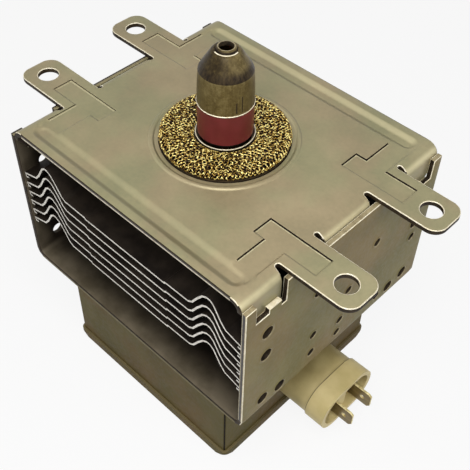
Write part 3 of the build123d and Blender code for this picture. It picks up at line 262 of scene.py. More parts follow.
class Tree:
    """A finish's node tree, with short calls for the nodes that the finishes here need."""

    def __init__(self, name):
        self.name = name
        self.material = bpy.data.materials.new(name)
        self.material.use_nodes = True
        self.tree = self.material.node_tree
        self.shader = self.tree.nodes["Principled BSDF"]
        self.coord = self.new("ShaderNodeTexCoord").outputs["Object"]
        self.bumps = None

    def new(self, kind, **values):
        return add_node(self.tree, kind, **values)

    def feed(self, value, socket):
        """Links an output to the socket, or gives it a constant."""
        if hasattr(value, "is_output"):
            self.tree.links.new(value, socket)
        else:
            socket.default_value = value

    def noise(self, scale, detail=4.0, roughness=0.55, stretch=None):
        """Noise from about 0 to 1. scale is how many features fit in a millimetre."""
        node = self.new("ShaderNodeTexNoise")
        node.inputs["Scale"].default_value = scale / MM
        node.inputs["Detail"].default_value = detail
        node.inputs["Roughness"].default_value = roughness
        source = self.coord
        if stretch:
            mapping = self.new("ShaderNodeMapping")
            mapping.inputs["Scale"].default_value = stretch
            self.feed(source, mapping.inputs["Vector"])
            source = mapping.outputs["Vector"]
        self.feed(source, node.inputs["Vector"])
        return node.outputs["Fac"]

    def absolute(self, value):
        node = self.new("ShaderNodeMath", operation="ABSOLUTE")
        self.feed(value, node.inputs[0])
        return node.outputs[0]

    def math(self, operation, first, *others):
        """Result of a math operation on two values, or of a row of operations on more of them."""
        for value in others:
            node = self.new("ShaderNodeMath", operation=operation)
            self.feed(first, node.inputs[0])
            self.feed(value, node.inputs[1])
            first = node.outputs[0]
        return first

    def weigh(self, *terms):
        """Sum of values, each times its weight."""
        return self.math("ADD", *[self.math("MULTIPLY", value, weight) for value, weight in terms])

    def span(self, value, low, high, to_low=0.0, to_high=1.0):
        """Takes low..high of a value smoothly to to_low..to_high, and holds it outside."""
        node = self.new("ShaderNodeMapRange", interpolation_type="SMOOTHSTEP")
        self.feed(value, node.inputs["Value"])
        node.inputs["From Min"].default_value = low
        node.inputs["From Max"].default_value = high
        node.inputs["To Min"].default_value = to_low
        node.inputs["To Max"].default_value = to_high
        return node.outputs["Result"]

    def zone(self, which, low, high, to_low=0.0, to_high=1.0, both=False):
        """Span of the place along an axis, in millimetres. both takes the two sides of its middle alike."""
        place = self.place(which)
        if both:
            place = self.absolute(place)
        return self.span(place, low * MM, high * MM, to_low, to_high)

    def mix(self, factor, a, b):
        """Colour a where the factor is 0 and b where it is 1."""
        node = self.new("ShaderNodeMix", data_type="RGBA")
        self.feed(factor, node.inputs[0])
        self.feed(a, node.inputs[6])
        self.feed(b, node.inputs[7])
        return node.outputs[2]

    def ramp(self, value, *stops):
        """Colour ramp over a value, with stops of (place, colour)."""
        node = self.new("ShaderNodeValToRGB")
        elements = node.color_ramp.elements
        while len(elements) < len(stops):
            elements.new(0.5)
        for element, (place, colour) in zip(elements, stops):
            element.position = place
            element.color = linear(colour)
        self.feed(value, node.inputs[0])
        return node.outputs[0]

    def axis(self, source, which):
        node = self.new("ShaderNodeSeparateXYZ")
        self.feed(source, node.inputs[0])
        return node.outputs[which]

    def place(self, which):
        """Place along one axis, in metres."""
        return self.axis(self.coord, which)

    def normal(self, which):
        """How far a surface faces along one axis, from -1 to 1."""
        return self.axis(self.new("ShaderNodeNewGeometry").outputs["Normal"], which)

    def bump(self, height, distance, strength=1.0):
        """Adds a bump whose full height is distance, in millimetres."""
        node = self.new("ShaderNodeBump")
        node.inputs["Strength"].default_value = strength
        node.inputs["Distance"].default_value = distance * MM
        self.feed(height, node.inputs["Height"])
        if self.bumps:
            self.feed(self.bumps, node.inputs["Normal"])
        self.bumps = node.outputs["Normal"]

    def done(self, colour, roughness=0.5, metallic=0.0, **extra):
        """Feeds the shader and keeps the finish under its name."""
        self.feed(colour, self.shader.inputs["Base Color"])
        self.feed(roughness, self.shader.inputs["Roughness"])
        self.feed(metallic, self.shader.inputs["Metallic"])
        for key, value in extra.items():
            self.shader.inputs[key.replace("_", " ")].default_value = value
        if self.bumps:
            self.feed(self.bumps, self.shader.inputs["Normal"])
        finishes[self.name] = self.material


def zinc(name, dark, mid, light, metallic, roughness, painted_highlight=None, rim=None, gloss=0.3):
    """Yellowish zinc on steel: cloudy patches of two hues, fine grain and rolling lines.
    The highlight colour is that of a painted highlight on the top plate's bends and on its faces to the
    front, whose faces to the back get painted shade; rim is the colour of a painted highlight on the upward
    faces of the ledge round the lid."""
    t = Tree(name)
    clouds = t.noise(0.045, 5, 0.6)
    fine = t.noise(0.9, 3, 0.6)
    lines = t.noise(1.1, 2, 0.5, stretch=(0.03, 1.0, 1.0))
    tone = t.weigh((clouds, 0.75), (fine, 0.25))
    cool = (dark, mid, light)
    warm = [tuple(c + d for c, d in zip(colour, (6, -2, 1))) for colour in cool]
    green, brown = [t.ramp(tone, *zip((0.34, 0.5, 0.66), colours)) for colours in (cool, warm)]
    colour = t.mix(t.span(t.noise(0.035, 3), 0.4, 0.6), green, brown)
    if painted_highlight:
        facing = t.normal(Y)
        # Painted shade on faces to the back, in cloudy patches
        painted_shade = t.math("MULTIPLY", t.span(facing, 0.1, 0.45), t.span(clouds, 0.3, 0.7, 0.4, 0.6))
        colour = t.mix(painted_shade, colour, linear((104, 99, 75)))
        # Painted highlight on faces to the front, stronger towards the back of the plate
        front_highlight = t.math("MULTIPLY", t.span(facing, -0.5, -0.1, 1, 0), t.zone(Y, -40, 40, 0.12, 0.55))
        # Painted highlight along the top of each rolled bend
        bend = t.math("MULTIPLY", t.zone(Z, -3.0, -1.6), t.zone(Z, -1.4, -0.4, 1, 0),
                      t.zone(X, 42.3, 43.2, both=True), t.span(clouds, 0.35, 0.65, 0.5, 1.0))
        colour = t.mix(t.math("MAXIMUM", front_highlight, bend), colour, linear(painted_highlight))
    if rim:
        # Painted highlight on the upward faces of the lid's ledge
        lit_ledge = t.math("MULTIPLY", t.span(t.normal(Z), 0.3, 0.6), t.zone(Z, -86, -85, 1, 0))
        colour = t.mix(lit_ledge, colour, linear(rim))
    rough = t.span(fine, 0.3, 0.7, roughness - 0.07, roughness + 0.09)
    t.bump(fine, 0.008, 0.5)
    t.bump(lines, 0.006, 0.5)
    t.done(colour, rough, metallic, Specular_IOR_Level=gloss)


def two_tone(name, scale, dark, light, roughness, metallic, grain=0.015, spread=0.15, **extra):
    """Finish of two close colours in soft patches, with a fine uneven surface."""
    t = Tree(name)
    clouds = t.noise(scale, 4)
    fine = t.noise(1.2, 3)
    t.bump(fine, grain, 0.5)
    rough = t.span(fine, 0.3, 0.7, roughness - 0.06, roughness + 0.08)
    t.done(t.ramp(clouds, (0.5 - spread, dark), (0.5 + spread, light)), rough, metallic, **extra)


def split_edge(name, mask, plain, marked, roughness, metallic, **extra):
    """Edge finish in two parts, each of two close colours. mask(tree) is 1 in the marked part."""
    t = Tree(name)
    fine = t.noise(0.8, 3)
    plain, marked = [t.ramp(fine, (0.35, dark), (0.65, light)) for dark, light in (plain, marked)]
    t.bump(fine, 0.02, 0.5)
    t.done(t.mix(mask(t), plain, marked), roughness, metallic, **extra)


def yoke_inside():
    """Inside of the yoke painted dark as shade, with painted light at the front and back of its floor and of
    its left wall.
    """
    t = Tree("yoke_inside")
    clouds = t.noise(0.12, 4)
    # Painted shade deep inside the yoke
    deep = t.ramp(clouds, (0.35, (24, 18, 14)), (0.65, (46, 38, 30)))
    # Painted light where it reaches in at the front and back
    front = t.ramp(clouds, (0.35, (90, 81, 64)), (0.65, (116, 106, 88)))
    floor = t.math("MULTIPLY", t.zone(Y, 28, 41, both=True), t.zone(Z, -52.4, -50.5, 1, 0))
    left = t.math("MULTIPLY", t.zone(Y, 33, 38, 0, 0.55, both=True), t.zone(X, -44, -43, 1, 0))
    t.bump(t.noise(0.9, 3), 0.01, 0.5)
    t.done(t.mix(t.math("MAXIMUM", floor, left), deep, front), 0.5, 0.1, Specular_IOR_Level=0.2)


def fin_aluminium():
    """Fins with their faces painted dark as shade of the yoke, and their cut edges of bare aluminium painted
    bright as highlights.
    """
    t = Tree("fin_aluminium")
    edge = t.span(t.absolute(t.normal(Y)), 0.5, 0.9)
    # Painted shade on the faces of the fins
    body = t.ramp(t.noise(0.12, 4), (0.35, (22, 17, 13)), (0.65, (46, 39, 32)))
    # Painted highlight on the cut edges, over their bare aluminium
    rim = t.ramp(t.noise(0.8, 3), (0.3, (212, 206, 194)), (0.7, (250, 246, 236)))
    t.bump(t.noise(0.8, 3), 0.01, 0.5)
    t.done(t.mix(edge, body, rim), t.span(edge, 0, 1, 0.6, 0.34), 0.1, Specular_IOR_Level=0.15)


def red_ceramic():
    """Satin red-brown glaze with soft clouds."""
    t = Tree("red_ceramic")
    clouds = t.noise(0.2, 3)
    colour = t.ramp(clouds, (0.3, (102, 36, 37)), (0.7, (118, 44, 46)))
    t.bump(t.noise(1.8, 3), 0.006, 0.4)
    t.done(colour, t.span(clouds, 0.3, 0.7, 0.34, 0.44), 0.0, Specular_IOR_Level=0.35)


def cap_steel():
    """Drawn steel with upright streaks and spots. The dome is darker than the side, darkest at its foot, and
    has painted light towards the back right."""
    t = Tree("cap_steel")
    streaks = t.noise(1.5, 3, 0.6, stretch=(1.0, 1.0, 0.06))
    clouds = t.noise(0.22, 5, 0.65)
    spots = t.noise(1.6, 3, 0.6)
    tone = t.weigh((streaks, 0.2), (clouds, 0.5), (spots, 0.3))
    side = t.ramp(tone, (0.38, (84, 70, 38)), (0.5, (106, 92, 55)), (0.62, (132, 118, 78)))
    dome = t.ramp(tone, (0.38, (32, 23, 8)), (0.5, (52, 41, 18)), (0.62, (80, 67, 36)))
    # Painted light on the dome towards the back right, where light falls
    lit_dome = t.ramp(tone, (0.38, (76, 63, 32)), (0.5, (104, 90, 54)), (0.62, (134, 119, 80)))
    across = t.weigh((t.place(X), 0.73), (t.place(Y), 0.68), (t.place(Z), 0.9))
    dome = t.mix(t.span(across, 23.5 * MM, 30 * MM), dome, lit_dome)
    low_dome = t.ramp(streaks, (0.36, (30, 21, 10)), (0.64, (60, 48, 28)))
    dome = t.mix(t.zone(Z, 24.4, 26.4), low_dome, dome)
    t.bump(streaks, 0.01, 0.5)
    t.bump(spots, 0.02, 0.5)
    colour = t.mix(t.zone(Z, 23.25, 23.4), side, dome)
    t.done(colour, t.span(spots, 0.3, 0.7, 0.34, 0.5), 0.35, Specular_IOR_Level=0.2)


def brass_mesh():
    """Gold wire with painted glints: fine spots of pale yellow painted highlight and of dark brown painted
    shade.
    """
    t = Tree("brass_mesh")
    fine = t.noise(1.4, 3)
    colour = t.ramp(fine, (0.43, (46, 27, 2)), (0.5, (184, 140, 30)), (0.57, (255, 240, 158)))
    t.bump(fine, 0.02, 0.6)
    t.done(colour, 0.28, 0.5)


def cream_plastic():
    """Cream plastic with painted shade towards the box, and a moulding seam round it."""
    t = Tree("cream_plastic")
    clouds = t.noise(0.1, 4)
    colour = t.ramp(clouds, (0.35, (208, 190, 132)), (0.65, (226, 208, 152)))
    # Painted shade on the part near the box
    shade = t.ramp(clouds, (0.35, (164, 148, 98)), (0.65, (186, 170, 118)))
    colour = t.mix(t.zone(X, 44, 50), shade, colour)
    seam = t.math("MULTIPLY", t.zone(X, 47.7, 47.85), t.zone(X, 48.05, 48.2, 1, 0))
    colour = t.mix(seam, colour, linear((84, 72, 44)))
    t.bump(t.noise(1.5, 3), 0.015, 0.5)
    t.done(colour, t.span(clouds, 0.3, 0.7, 0.4, 0.52), 0.0, Specular_IOR_Level=0.3)


def tab_metal():
    """Brass strip with fine lines along it."""
    t = Tree("tab_metal")
    fine = t.noise(0.7, 3, 0.6, stretch=(0.15, 1.0, 1.0))
    colour = t.ramp(fine, (0.3, (98, 83, 44)), (0.7, (132, 114, 70)))
    t.bump(fine, 0.01, 0.5)
    t.done(colour, 0.32, 0.5)


def make_zinc():
    """The zinc of the top plate, with painted highlights and shade, and darker copies of it as painted shade
    on the outside of the walls, on the box and, darkest, on the plate's underside.
    """
    zinc("zinc_plate", (139, 136, 103), (152, 146, 111), (164, 156, 120), 0.3, 0.38, painted_highlight=(206, 196, 156))
    # Painted shade: the walls' zinc is darker than the plate's
    zinc("zinc_wall", (106, 99, 57), (118, 109, 66), (129, 120, 76), 0.15, 0.5)
    # Painted shade: the box's zinc is darker still, with a painted highlight on the lid's ledge
    zinc("zinc_box", (78, 70, 34), (90, 81, 43), (102, 92, 55), 0.05, 0.55, rim=(122, 110, 78), gloss=0.12)
    # Painted shade: the plate's underside is its zinc, darkened
    zinc("zinc_under_shade", (40, 33, 26), (52, 44, 34), (66, 57, 45), 0.1, 0.6)


def make_edges():
    """Finishes of cut edges, creases and gaps, many of them painted highlight and painted shade."""
    # Painted light on cut faces that face up, on the cap's bead top and on low roundings of the yoke
    two_tone("wall_top", 0.5, (132, 118, 86), (168, 154, 118), 0.4, 0.2, 0.03)
    # Dark cut steel, also used as painted shade in holes, grooves, creases and under edges
    two_tone("cut_edge", 0.5, (28, 21, 14), (60, 49, 34), 0.6, 0.1, 0.03, Specular_IOR_Level=0.2)
    # Painted highlight on rounded edges
    two_tone("edge_line", 0.5, (222, 208, 172), (255, 248, 226), 0.34, 0.1, 0.02, 0.2)
    # Painted highlight strip inside pressed steps
    two_tone("step_light", 0.4, (172, 165, 129), (198, 188, 152), 0.4, 0.2, 0.01)
    # Painted shade in creases, gaps and at feet, and the dark joint of the box
    two_tone("crease", 0.4, (14, 10, 6), (38, 30, 20), 0.7, 0.0, 0.01, Specular_IOR_Level=0.1)
    two_tone("gasket_shade", 1.2, (6, 4, 2), (20, 14, 6), 0.8, 0.0, Specular_IOR_Level=0.1)
    two_tone("tab_edge", 0.6, (206, 188, 128), (244, 230, 176), 0.3, 0.3)
    split_edge(
        "sheet_edge", lambda t: t.zone(Z, -0.95, -0.8),
        ((196, 182, 150), (244, 236, 214)), ((30, 24, 17), (60, 50, 36)), 0.42, 0.2)
    # Painted highlight lines at the inner and outer borders of the walls' dark front cut faces
    split_edge(
        "wall_edge", lambda t: t.math("MAXIMUM", t.zone(X, 45.05, 45.2, 1, 0), t.zone(X, 45.9, 46.05)),
        ((22, 16, 11), (56, 46, 34)), ((176, 162, 126), (226, 214, 180)), 0.42, 0.1)
    # Painted shade on the upper part of the floor's cut face
    split_edge(
        "floor_edge", lambda t: t.zone(Z, YOKE_BOTTOM + 0.9, YOKE_BOTTOM + 1.05),
        ((104, 94, 58), (124, 112, 74)), ((24, 18, 10), (52, 42, 28)), 0.5, 0.05, Specular_IOR_Level=0.15)
    # Painted shade on the outer part of the left wall's top, the inner part pale like the plate
    split_edge(
        "left_top", lambda t: t.zone(X, -45.75, -45.6, 1, 0),
        ((134, 124, 92), (150, 140, 106)), ((34, 27, 18), (66, 56, 40)), 0.45, 0.1, Specular_IOR_Level=0.3)


def make_finishes():
    """Makes every finish. Those of the CAD nodes have the names of the record's material slots."""
    make_zinc()
    make_edges()
    yoke_inside()
    fin_aluminium()
    red_ceramic()
    cap_steel()
    brass_mesh()
    cream_plastic()
    tab_metal()
    for name, dark, light, roughness, metallic in (
        ("copper", (150, 84, 58), (196, 124, 92), 0.35, 0.95),
        ("white_ceramic", (206, 202, 192), (232, 229, 220), 0.5, 0.0),
        ("brown_plastic", (84, 56, 38), (110, 78, 54), 0.5, 0.0),
        ("tungsten", (96, 96, 98), (136, 136, 138), 0.4, 0.9),
        ("enamel_wire", (124, 58, 34), (166, 88, 52), 0.3, 0.6),
        ("nickel", (118, 110, 92), (148, 140, 120), 0.42, 0.5),
        ("ferrite", (38, 36, 36), (58, 55, 54), 0.6, 0.1),
        ("seal_metal", (44, 34, 22), (78, 64, 42), 0.5, 0.3),
        ("pole_iron", (110, 106, 98), (140, 136, 126), 0.4, 0.9),
    ):
        two_tone(name, 0.25, dark, light, roughness, metallic)


def dress_nodes():
    """Gives every CAD node the finish of its record slot, and rounds the edges of three of them."""
    slots = {n["node"]: n["material_slot"] for n in frame["record"]["subparts"]}
    for name, piece in nodes.items():
        for holder in piece.material_slots:
            holder.material = finishes[slots[name]]
    for name, width in (("connector_housing", 0.4), ("filter_box", 0.15), ("filter_lid", 0.2)):
        bevel = nodes[name].modifiers.new("edge", "BEVEL")
        bevel.width = width * MM
        bevel.segments = 2
        bevel.limit_method = "ANGLE"
        bevel.angle_limit = math.radians(50)


# Mesh pieces

def add_piece(name, points, faces, looks, slot, *replaced):
    """Piece on the only body, from points in millimetres. looks are names of finishes."""
    mesh = bpy.data.meshes.new(name)
    mesh.from_pydata([(x * MM, y * MM, z * MM) for x, y, z in points], [], faces)
    for look in looks:
        mesh.materials.append(finishes[look])
    piece = add_object(name, mesh)
    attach(piece, "root")
    if replaced:
        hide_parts(*replaced)
    return piece


def apply(piece):
    """Puts the piece's modifiers into its mesh."""
    ready = piece.evaluated_get(bpy.context.evaluated_depsgraph_get())
    mesh = bpy.data.meshes.new_from_object(ready)
    piece.modifiers.clear()
    piece.data = mesh
    return mesh


def settle(piece, angle):
    """Applies the piece's modifiers, and shades it smooth but for edges sharper than the angle."""
    mesh = apply(piece)
    mesh.polygons.foreach_set("use_smooth", [True] * len(mesh.polygons))
    mesh.set_sharp_from_angle(angle=math.radians(angle))


def read(items, name, kind=int, width=1):
    """A value of each item of a mesh, as an array. width is how many numbers the value has."""
    values = np.empty(len(items) * width, kind)
    items.foreach_get(name, values)
    return values.reshape(-1, width) if width > 1 else values


def thicken(piece, thickness, edge):
    """Makes a sheet of a surface, and rounds the edges of its cut sides."""
    sheet = piece.modifiers.new("sheet", "SOLIDIFY")
    sheet.thickness = thickness * MM
    sheet.offset = -1
    sheet.material_offset = BACK
    sheet.material_offset_rim = CUT
    mesh = apply(piece)
    cut = read(mesh.polygons, "material_index") == CUT
    on_cut = np.repeat(cut, read(mesh.polygons, "loop_total"))
    sides = np.bincount(read(mesh.loops, "edge_index"), weights=on_cut, minlength=len(mesh.edges))
    weight = mesh.attributes.new("bevel_weight_edge", "FLOAT", "EDGE")
    weight.data.foreach_set("value", (sides == 1).astype(np.float32))
    bevel = piece.modifiers.new("edge", "BEVEL")
    bevel.width = edge * MM
    bevel.segments = 2
    bevel.material = ROUNDING
    bevel.limit_method = "WEIGHT"
    bevel.use_clamp_overlap = False
    settle(piece, 50)


def repaint(piece, looks, rule):
    """Gives faces of a piece other looks. rule takes the middle of each face in millimetres, its normal and
    its slot, and returns pairs of which faces change and their new look, in the order of painting."""
    faces = piece.data.polygons
    middle, normal = read(faces, "center", float, 3) / MM, read(faces, "normal", float, 3)
    slot = read(faces, "material_index")
    painted = slot.copy()
    for changed, look in rule(middle, normal, slot):
        painted[changed] = looks.index(look)
    faces.foreach_set("material_index", painted.tolist())


def arc(x, y, radius, start, end, steps):
    """Points of an arc, angles in degrees."""
    angles = [math.radians(start + (end - start) * i / steps) for i in range(steps + 1)]
    return [(x + radius * math.cos(a), y + radius * math.sin(a)) for a in angles]


def circle(x, y, radius, steps):
    return arc(x, y, radius, 0, 360, steps)[:-1]


def dense(loop, gap):
    """Closed loop with extra points so that no side is longer than the gap."""
    out = []
    for (xa, ya), (xb, yb) in zip(loop, loop[1:] + loop[:1]):
        steps = max(1, math.ceil(math.hypot(xb - xa, yb - ya) / gap))
        out += [(xa + (xb - xa) * i / steps, ya + (yb - ya) * i / steps) for i in range(steps)]
    return out


def spaced(reach, gap):
    """Places a gap apart, from -reach to reach."""
    return np.arange(-reach, reach + 0.1, gap)


def lattice(xs, ys):
    """Points at every pair of a place along x and one along y."""
    return np.column_stack([part.ravel() for part in np.meshgrid(xs, ys)])


def smooth_step(value, low, high):
    t = np.clip((value - low) / (high - low), 0, 1)
    return t * t * (3 - 2 * t)


def between(value, low, high):
    return (value > low) & (value < high)


def inside(points, loop):
    """Which of the points lie inside the closed loop."""
    x, y = points[:, 0], points[:, 1]
    found = np.zeros(len(points), bool)
    for (xa, ya), (xb, yb) in zip(loop, loop[1:] + loop[:1]):
        if ya != yb:
            crosses = (ya > y) != (yb > y)
            found ^= crosses & (x < (xb - xa) * (y - ya) / (yb - ya) + xa)
    return found


def on_sheet(points, outline, holes):
    """Which of the points lie inside the outline and in none of the holes."""
    found = inside(points, outline)
    for loop in holes:
        found &= ~inside(points, loop)
    return found


def triangulate(outline, holes, free, gap):
    """Flat mesh inside the outline and outside the holes, through free points that keep a gap to the rims.
    Of free points that crowd together only the first is used."""
    rim_step, crowded, tolerance = 0.3, 0.12, 1e-5
    loops = [outline, *holes]
    rim = np.concatenate([np.array(loop) for loop in loops])
    fence = np.concatenate([np.array(dense(loop, rim_step)) for loop in loops])
    cell = np.round(free / crowded).astype(int)
    first = np.zeros(len(free), bool)
    first[np.unique(cell, axis=0, return_index=True)[1]] = True
    free = free[on_sheet(free, outline, holes) & first]
    far = np.array([np.min(np.hypot(*(fence - p).T)) > gap for p in free], bool)
    points = np.concatenate((rim, free[far]))
    edges = []
    start = 0
    for loop in loops:
        edges += [(start + i, start + (i + 1) % len(loop)) for i in range(len(loop))]
        start += len(loop)
    flat, _, faces, _, _, _ = delaunay_2d_cdt([Vector(p) for p in points], edges, [], 0, tolerance)
    flat = np.array([tuple(p) for p in flat])
    faces = np.array([tuple(f) for f in faces])
    return flat, faces[on_sheet(flat[faces].mean(axis=1), outline, holes)]


def ring_faces(rings, sides, first=0):
    """Faces between closed rings of points, each ring joined to the next and the last to the first."""
    faces = []
    for i in range(rings):
        here, there = first + i * sides, first + (i + 1) % rings * sides
        for k in range(sides):
            m = (k + 1) % sides
            faces.append((here + k, there + k, there + m, here + m))
    return faces


# Top plate

PLATE_LOOKS = ("zinc_plate", "zinc_under_shade", "cut_edge", "edge_line", "crease", "sheet_edge", "step_light")


def plate_outline():
    """Outline of the plate as a flat sheet, before its ends are rolled down."""
    near, far = EAR_Y - EAR_HALF, EAR_Y + EAR_HALF
    half = RELIEF / 2
    quarter = [(PLATE_END, 0.0), (PLATE_END, near - RELIEF)]
    quarter += arc(RELIEF_X, near - half, half, -90, -270, 8)
    quarter += arc(EAR_END - EAR_CORNER, near + EAR_CORNER, EAR_CORNER, -90, 0, 10)
    quarter += arc(EAR_END - EAR_CORNER, far - EAR_CORNER, EAR_CORNER, 0, 90, 10)
    quarter += arc(RELIEF_X, far + half, half, -90, -270, 8)
    quarter += [(PLATE_END, far + RELIEF), (PLATE_END, FLANGE_CUT_Y), (FLAT_END + ROLL_LENGTH, PLATE_HALF_Y)]
    upper = quarter + [(-x, y) for x, y in quarter[:0:-1]]
    lower = [(-x, -y) for x, y in upper]
    return dense(upper + lower, 1.0)


def channel_distance(x, y):
    """Distance from the middle line of the nearer channel."""
    over = np.maximum(np.abs(x) - (CHANNEL_END - CHANNEL_HALF), 0)
    return np.hypot(over, np.abs(y) - CHANNEL_Y)


def band_depth_in(x, y):
    """How far a place lies inside the recessed band beside the ears, below zero outside it."""
    x, y = np.abs(x), np.abs(y)
    tongue = np.minimum.reduce((x - TONGUE_NEAR, TONGUE_FAR - x, y - TONGUE_IN, TONGUE_OUT - y))
    arm = np.minimum.reduce((x - ARM_NEAR, ARM_FAR - x, y - TONGUE_IN, CHANNEL_Y - y))
    return np.maximum(tongue, arm)


def plate_height(x, y):
    """Height of the pressed plate above its flat part."""
    channel = -CHANNEL_DEPTH * (1 - smooth_step(channel_distance(x, y), CHANNEL_FLOOR, CHANNEL_HALF))
    band = -BAND_DEPTH * smooth_step(band_depth_in(x, y), 0, BAND_STEP)
    off = np.abs(np.hypot(x, y) - (LIP_IN + LIP_OUT) / 2)
    lip = LIP_HEIGHT * (1 - smooth_step(off, LIP_CROWN, (LIP_OUT - LIP_IN) / 2))
    return np.minimum(channel, band) + lip


def channel_points():
    """Points along each channel and round its ends, close together where its side is steep."""
    reach = CHANNEL_END - CHANNEL_HALF
    straight = np.linspace(-reach, reach, 95)
    turns = np.linspace(-math.pi / 2, math.pi / 2, 22)[1:-1]
    rows = []
    for middle in (-CHANNEL_Y, CHANNEL_Y):
        rows.append(lattice(straight, [middle]))
        for d in (CHANNEL_FLOOR, 1.0, 1.4, 1.8, 2.2, 2.6, 2.95, CHANNEL_HALF, CHANNEL_HALF + 0.35):
            rows += [lattice(straight, [middle + side * d]) for side in (-1, 1)]
            for end in (-1, 1):
                rows.append(np.column_stack((end * (reach + d * np.cos(turns)), middle + d * np.sin(turns))))
    return rows


def ring_points():
    """Rings of points across the raised ring, and between it and the bore."""
    turns = np.linspace(0, 2 * math.pi, 181)[:-1]
    radii = [*np.linspace(LIP_IN - 0.3, LIP_OUT + 0.3, 10), BORE + 1, 13, 15, 17, SHADE_IN, SHADE_OUT]
    return [np.column_stack((r * np.cos(turns), r * np.sin(turns))) for r in radii]


def band_points():
    """Points along the outline of each recessed band, in rows from outside its step to its light strip."""
    top = CHANNEL_EDGE - 0.5
    rows = []
    for inset in (-0.35, 0.0, BAND_STEP / 2, BAND_STEP, STEP_HIGHLIGHT):
        arm_near, arm_far = ARM_NEAR + inset, ARM_FAR - inset
        near, far, low, high = TONGUE_NEAR + inset, TONGUE_FAR - inset, TONGUE_IN + inset, TONGUE_OUT - inset
        loop = [(arm_near, top), (arm_near, high), (near, high), (near, low),
                (far, low), (far, high), (arm_far, high), (arm_far, top)]
        run = np.array(dense(loop, 0.3))
        run = run[run[:, 1] < top - 0.01]
        rows += [run * (sx, sy) for sx in (-1, 1) for sy in (-1, 1)]
    return rows


def plate_points():
    """Places where the flat plate is sampled: fine across each pressed shape and bend, coarse elsewhere."""
    grid = lattice(spaced(63.6, 1.2), spaced(39.6, 1.2))
    x, y = grid.T
    busy = channel_distance(x, y) < CHANNEL_HALF + 0.7
    busy |= between(band_depth_in(x, y), -0.6, 0.9)
    busy |= np.hypot(x, y) < LIP_OUT + 0.7
    bend = np.linspace(FLAT_END, FLAT_END + ROLL_LENGTH, 13)
    bends = lattice(np.concatenate((-bend, bend)), spaced(39.6, 0.9))
    bends = bends[np.abs(np.abs(bends[:, 1]) - EAR_Y) > EAR_HALF]
    return np.concatenate([*channel_points(), *ring_points(), *band_points(), grid[~busy], bends])


def roll_down(points, heights):
    """Takes places on the flat sheet to their place on the bent one."""
    x, y = points[:, 0], points[:, 1]
    ear = np.abs(np.abs(y) - EAR_Y) < EAR_HALF + RELIEF / 2
    past = np.where(ear, 0, np.clip(np.abs(x) - FLAT_END, 0, None))
    angle = np.minimum(past, ROLL_LENGTH) / PLATE_ROLL
    straight = np.maximum(past - ROLL_LENGTH, 0)
    reach = PLATE_ROLL + heights
    bent_x = FLAT_END + reach * np.sin(angle)
    bent_z = reach * np.cos(angle) - PLATE_ROLL - straight
    out_x = np.where(past > 0, np.sign(x) * bent_x, x)
    return np.column_stack((out_x, y, bent_z))


def plate_rule(middle, normal, slot):
    """Looks of the plate's cut edges, with dark cut steel and painted shade on their lower roundings and on
    those at the front and back ends, a ring of painted shade at the gasket's foot, and, where a pressed step
    rises towards the front or the right, a crease of painted shade with a strip of painted highlight inside
    it."""
    x, y, z = middle.T
    depth = band_depth_in(x, y)
    ahead = CORNER_X * (band_depth_in(x + 0.05, y) - band_depth_in(x - 0.05, y))
    ahead += CORNER_Y * (band_depth_in(x, y + 0.05) - band_depth_in(x, y - 0.05))
    ahead = (ahead > 0.02) & (np.abs(y) < CHANNEL_EDGE - 0.9) & (z > -1) & (slot == FACE)
    width = np.where(x < 0, BAND_STEP / 2, BAND_STEP)
    flat, y = np.abs(x) < FLAT_END, np.abs(y)
    return [
        (ahead & between(depth, 0, width), "crease"),
        ((slot == FACE) & between(np.hypot(x, y), SHADE_IN, SHADE_OUT), "crease"),
        (ahead & between(depth, BAND_STEP, STEP_HIGHLIGHT), "step_light"),
        ((slot == CUT) & (y > CUT_END) & flat, "sheet_edge"),
        ((slot == ROUNDING) & ((z < -1.2) | ((y > ROUND_END) & flat)), "cut_edge"),
    ]


def make_plate():
    """Top plate, cut and pressed as a flat sheet and then bent."""
    holes = [circle(sx * EAR_X, sy * EAR_Y, EAR_HOLE, 48) for sx in (-1, 1) for sy in (-1, 1)]
    holes.append(circle(0, 0, BORE, 72))
    flat, faces = triangulate(plate_outline(), holes, plate_points(), 0.42)
    placed = roll_down(flat, plate_height(flat[:, 0], flat[:, 1]))
    piece = add_piece("top_plate", placed, faces.tolist(), PLATE_LOOKS, "zinc_plate", "upper_yoke_plate")
    thicken(piece, SHEET, 0.22)
    repaint(piece, PLATE_LOOKS, plate_rule)


# Lower yoke

YOKE_LOOKS = (
    "zinc_wall", "yoke_inside", "cut_edge", "edge_line", "wall_edge", "wall_top", "left_top", "floor_edge",
)


def wall_run(z):
    """Place of a height of the wall on the flat sheet, from the middle of the floor."""
    return YOKE_FLAT + YOKE_BEND_LENGTH + z - YOKE_BOTTOM - YOKE_BEND


def fold_up(points, heights):
    """Takes places on the flat sheet to their place on the folded yoke. Heights point outwards."""
    x, y = points[:, 0], points[:, 1]
    past = np.clip(np.abs(x) - YOKE_FLAT, 0, None)
    angle = np.minimum(past, YOKE_BEND_LENGTH) / YOKE_BEND
    straight = np.maximum(past - YOKE_BEND_LENGTH, 0)
    reach = YOKE_BEND + heights
    out_x = np.where(past > 0, np.sign(x) * (YOKE_FLAT + reach * np.sin(angle)), x)
    return np.column_stack((out_x, y, YOKE_BOTTOM + YOKE_BEND - reach * np.cos(angle) + straight))


def yoke_outline():
    """Outline of the yoke as a flat sheet, with the notched top of a wall at each end."""
    far = []
    inner = 0.0
    for y, z in WALL_PROFILE:
        far += [(wall_run(z), inner), (wall_run(z), y)]
        inner = y
    far = far[1:]
    half = [(s, -y) for s, y in far[::-1]] + far
    return dense(half + [(-s, -y) for s, y in half], 2.2)


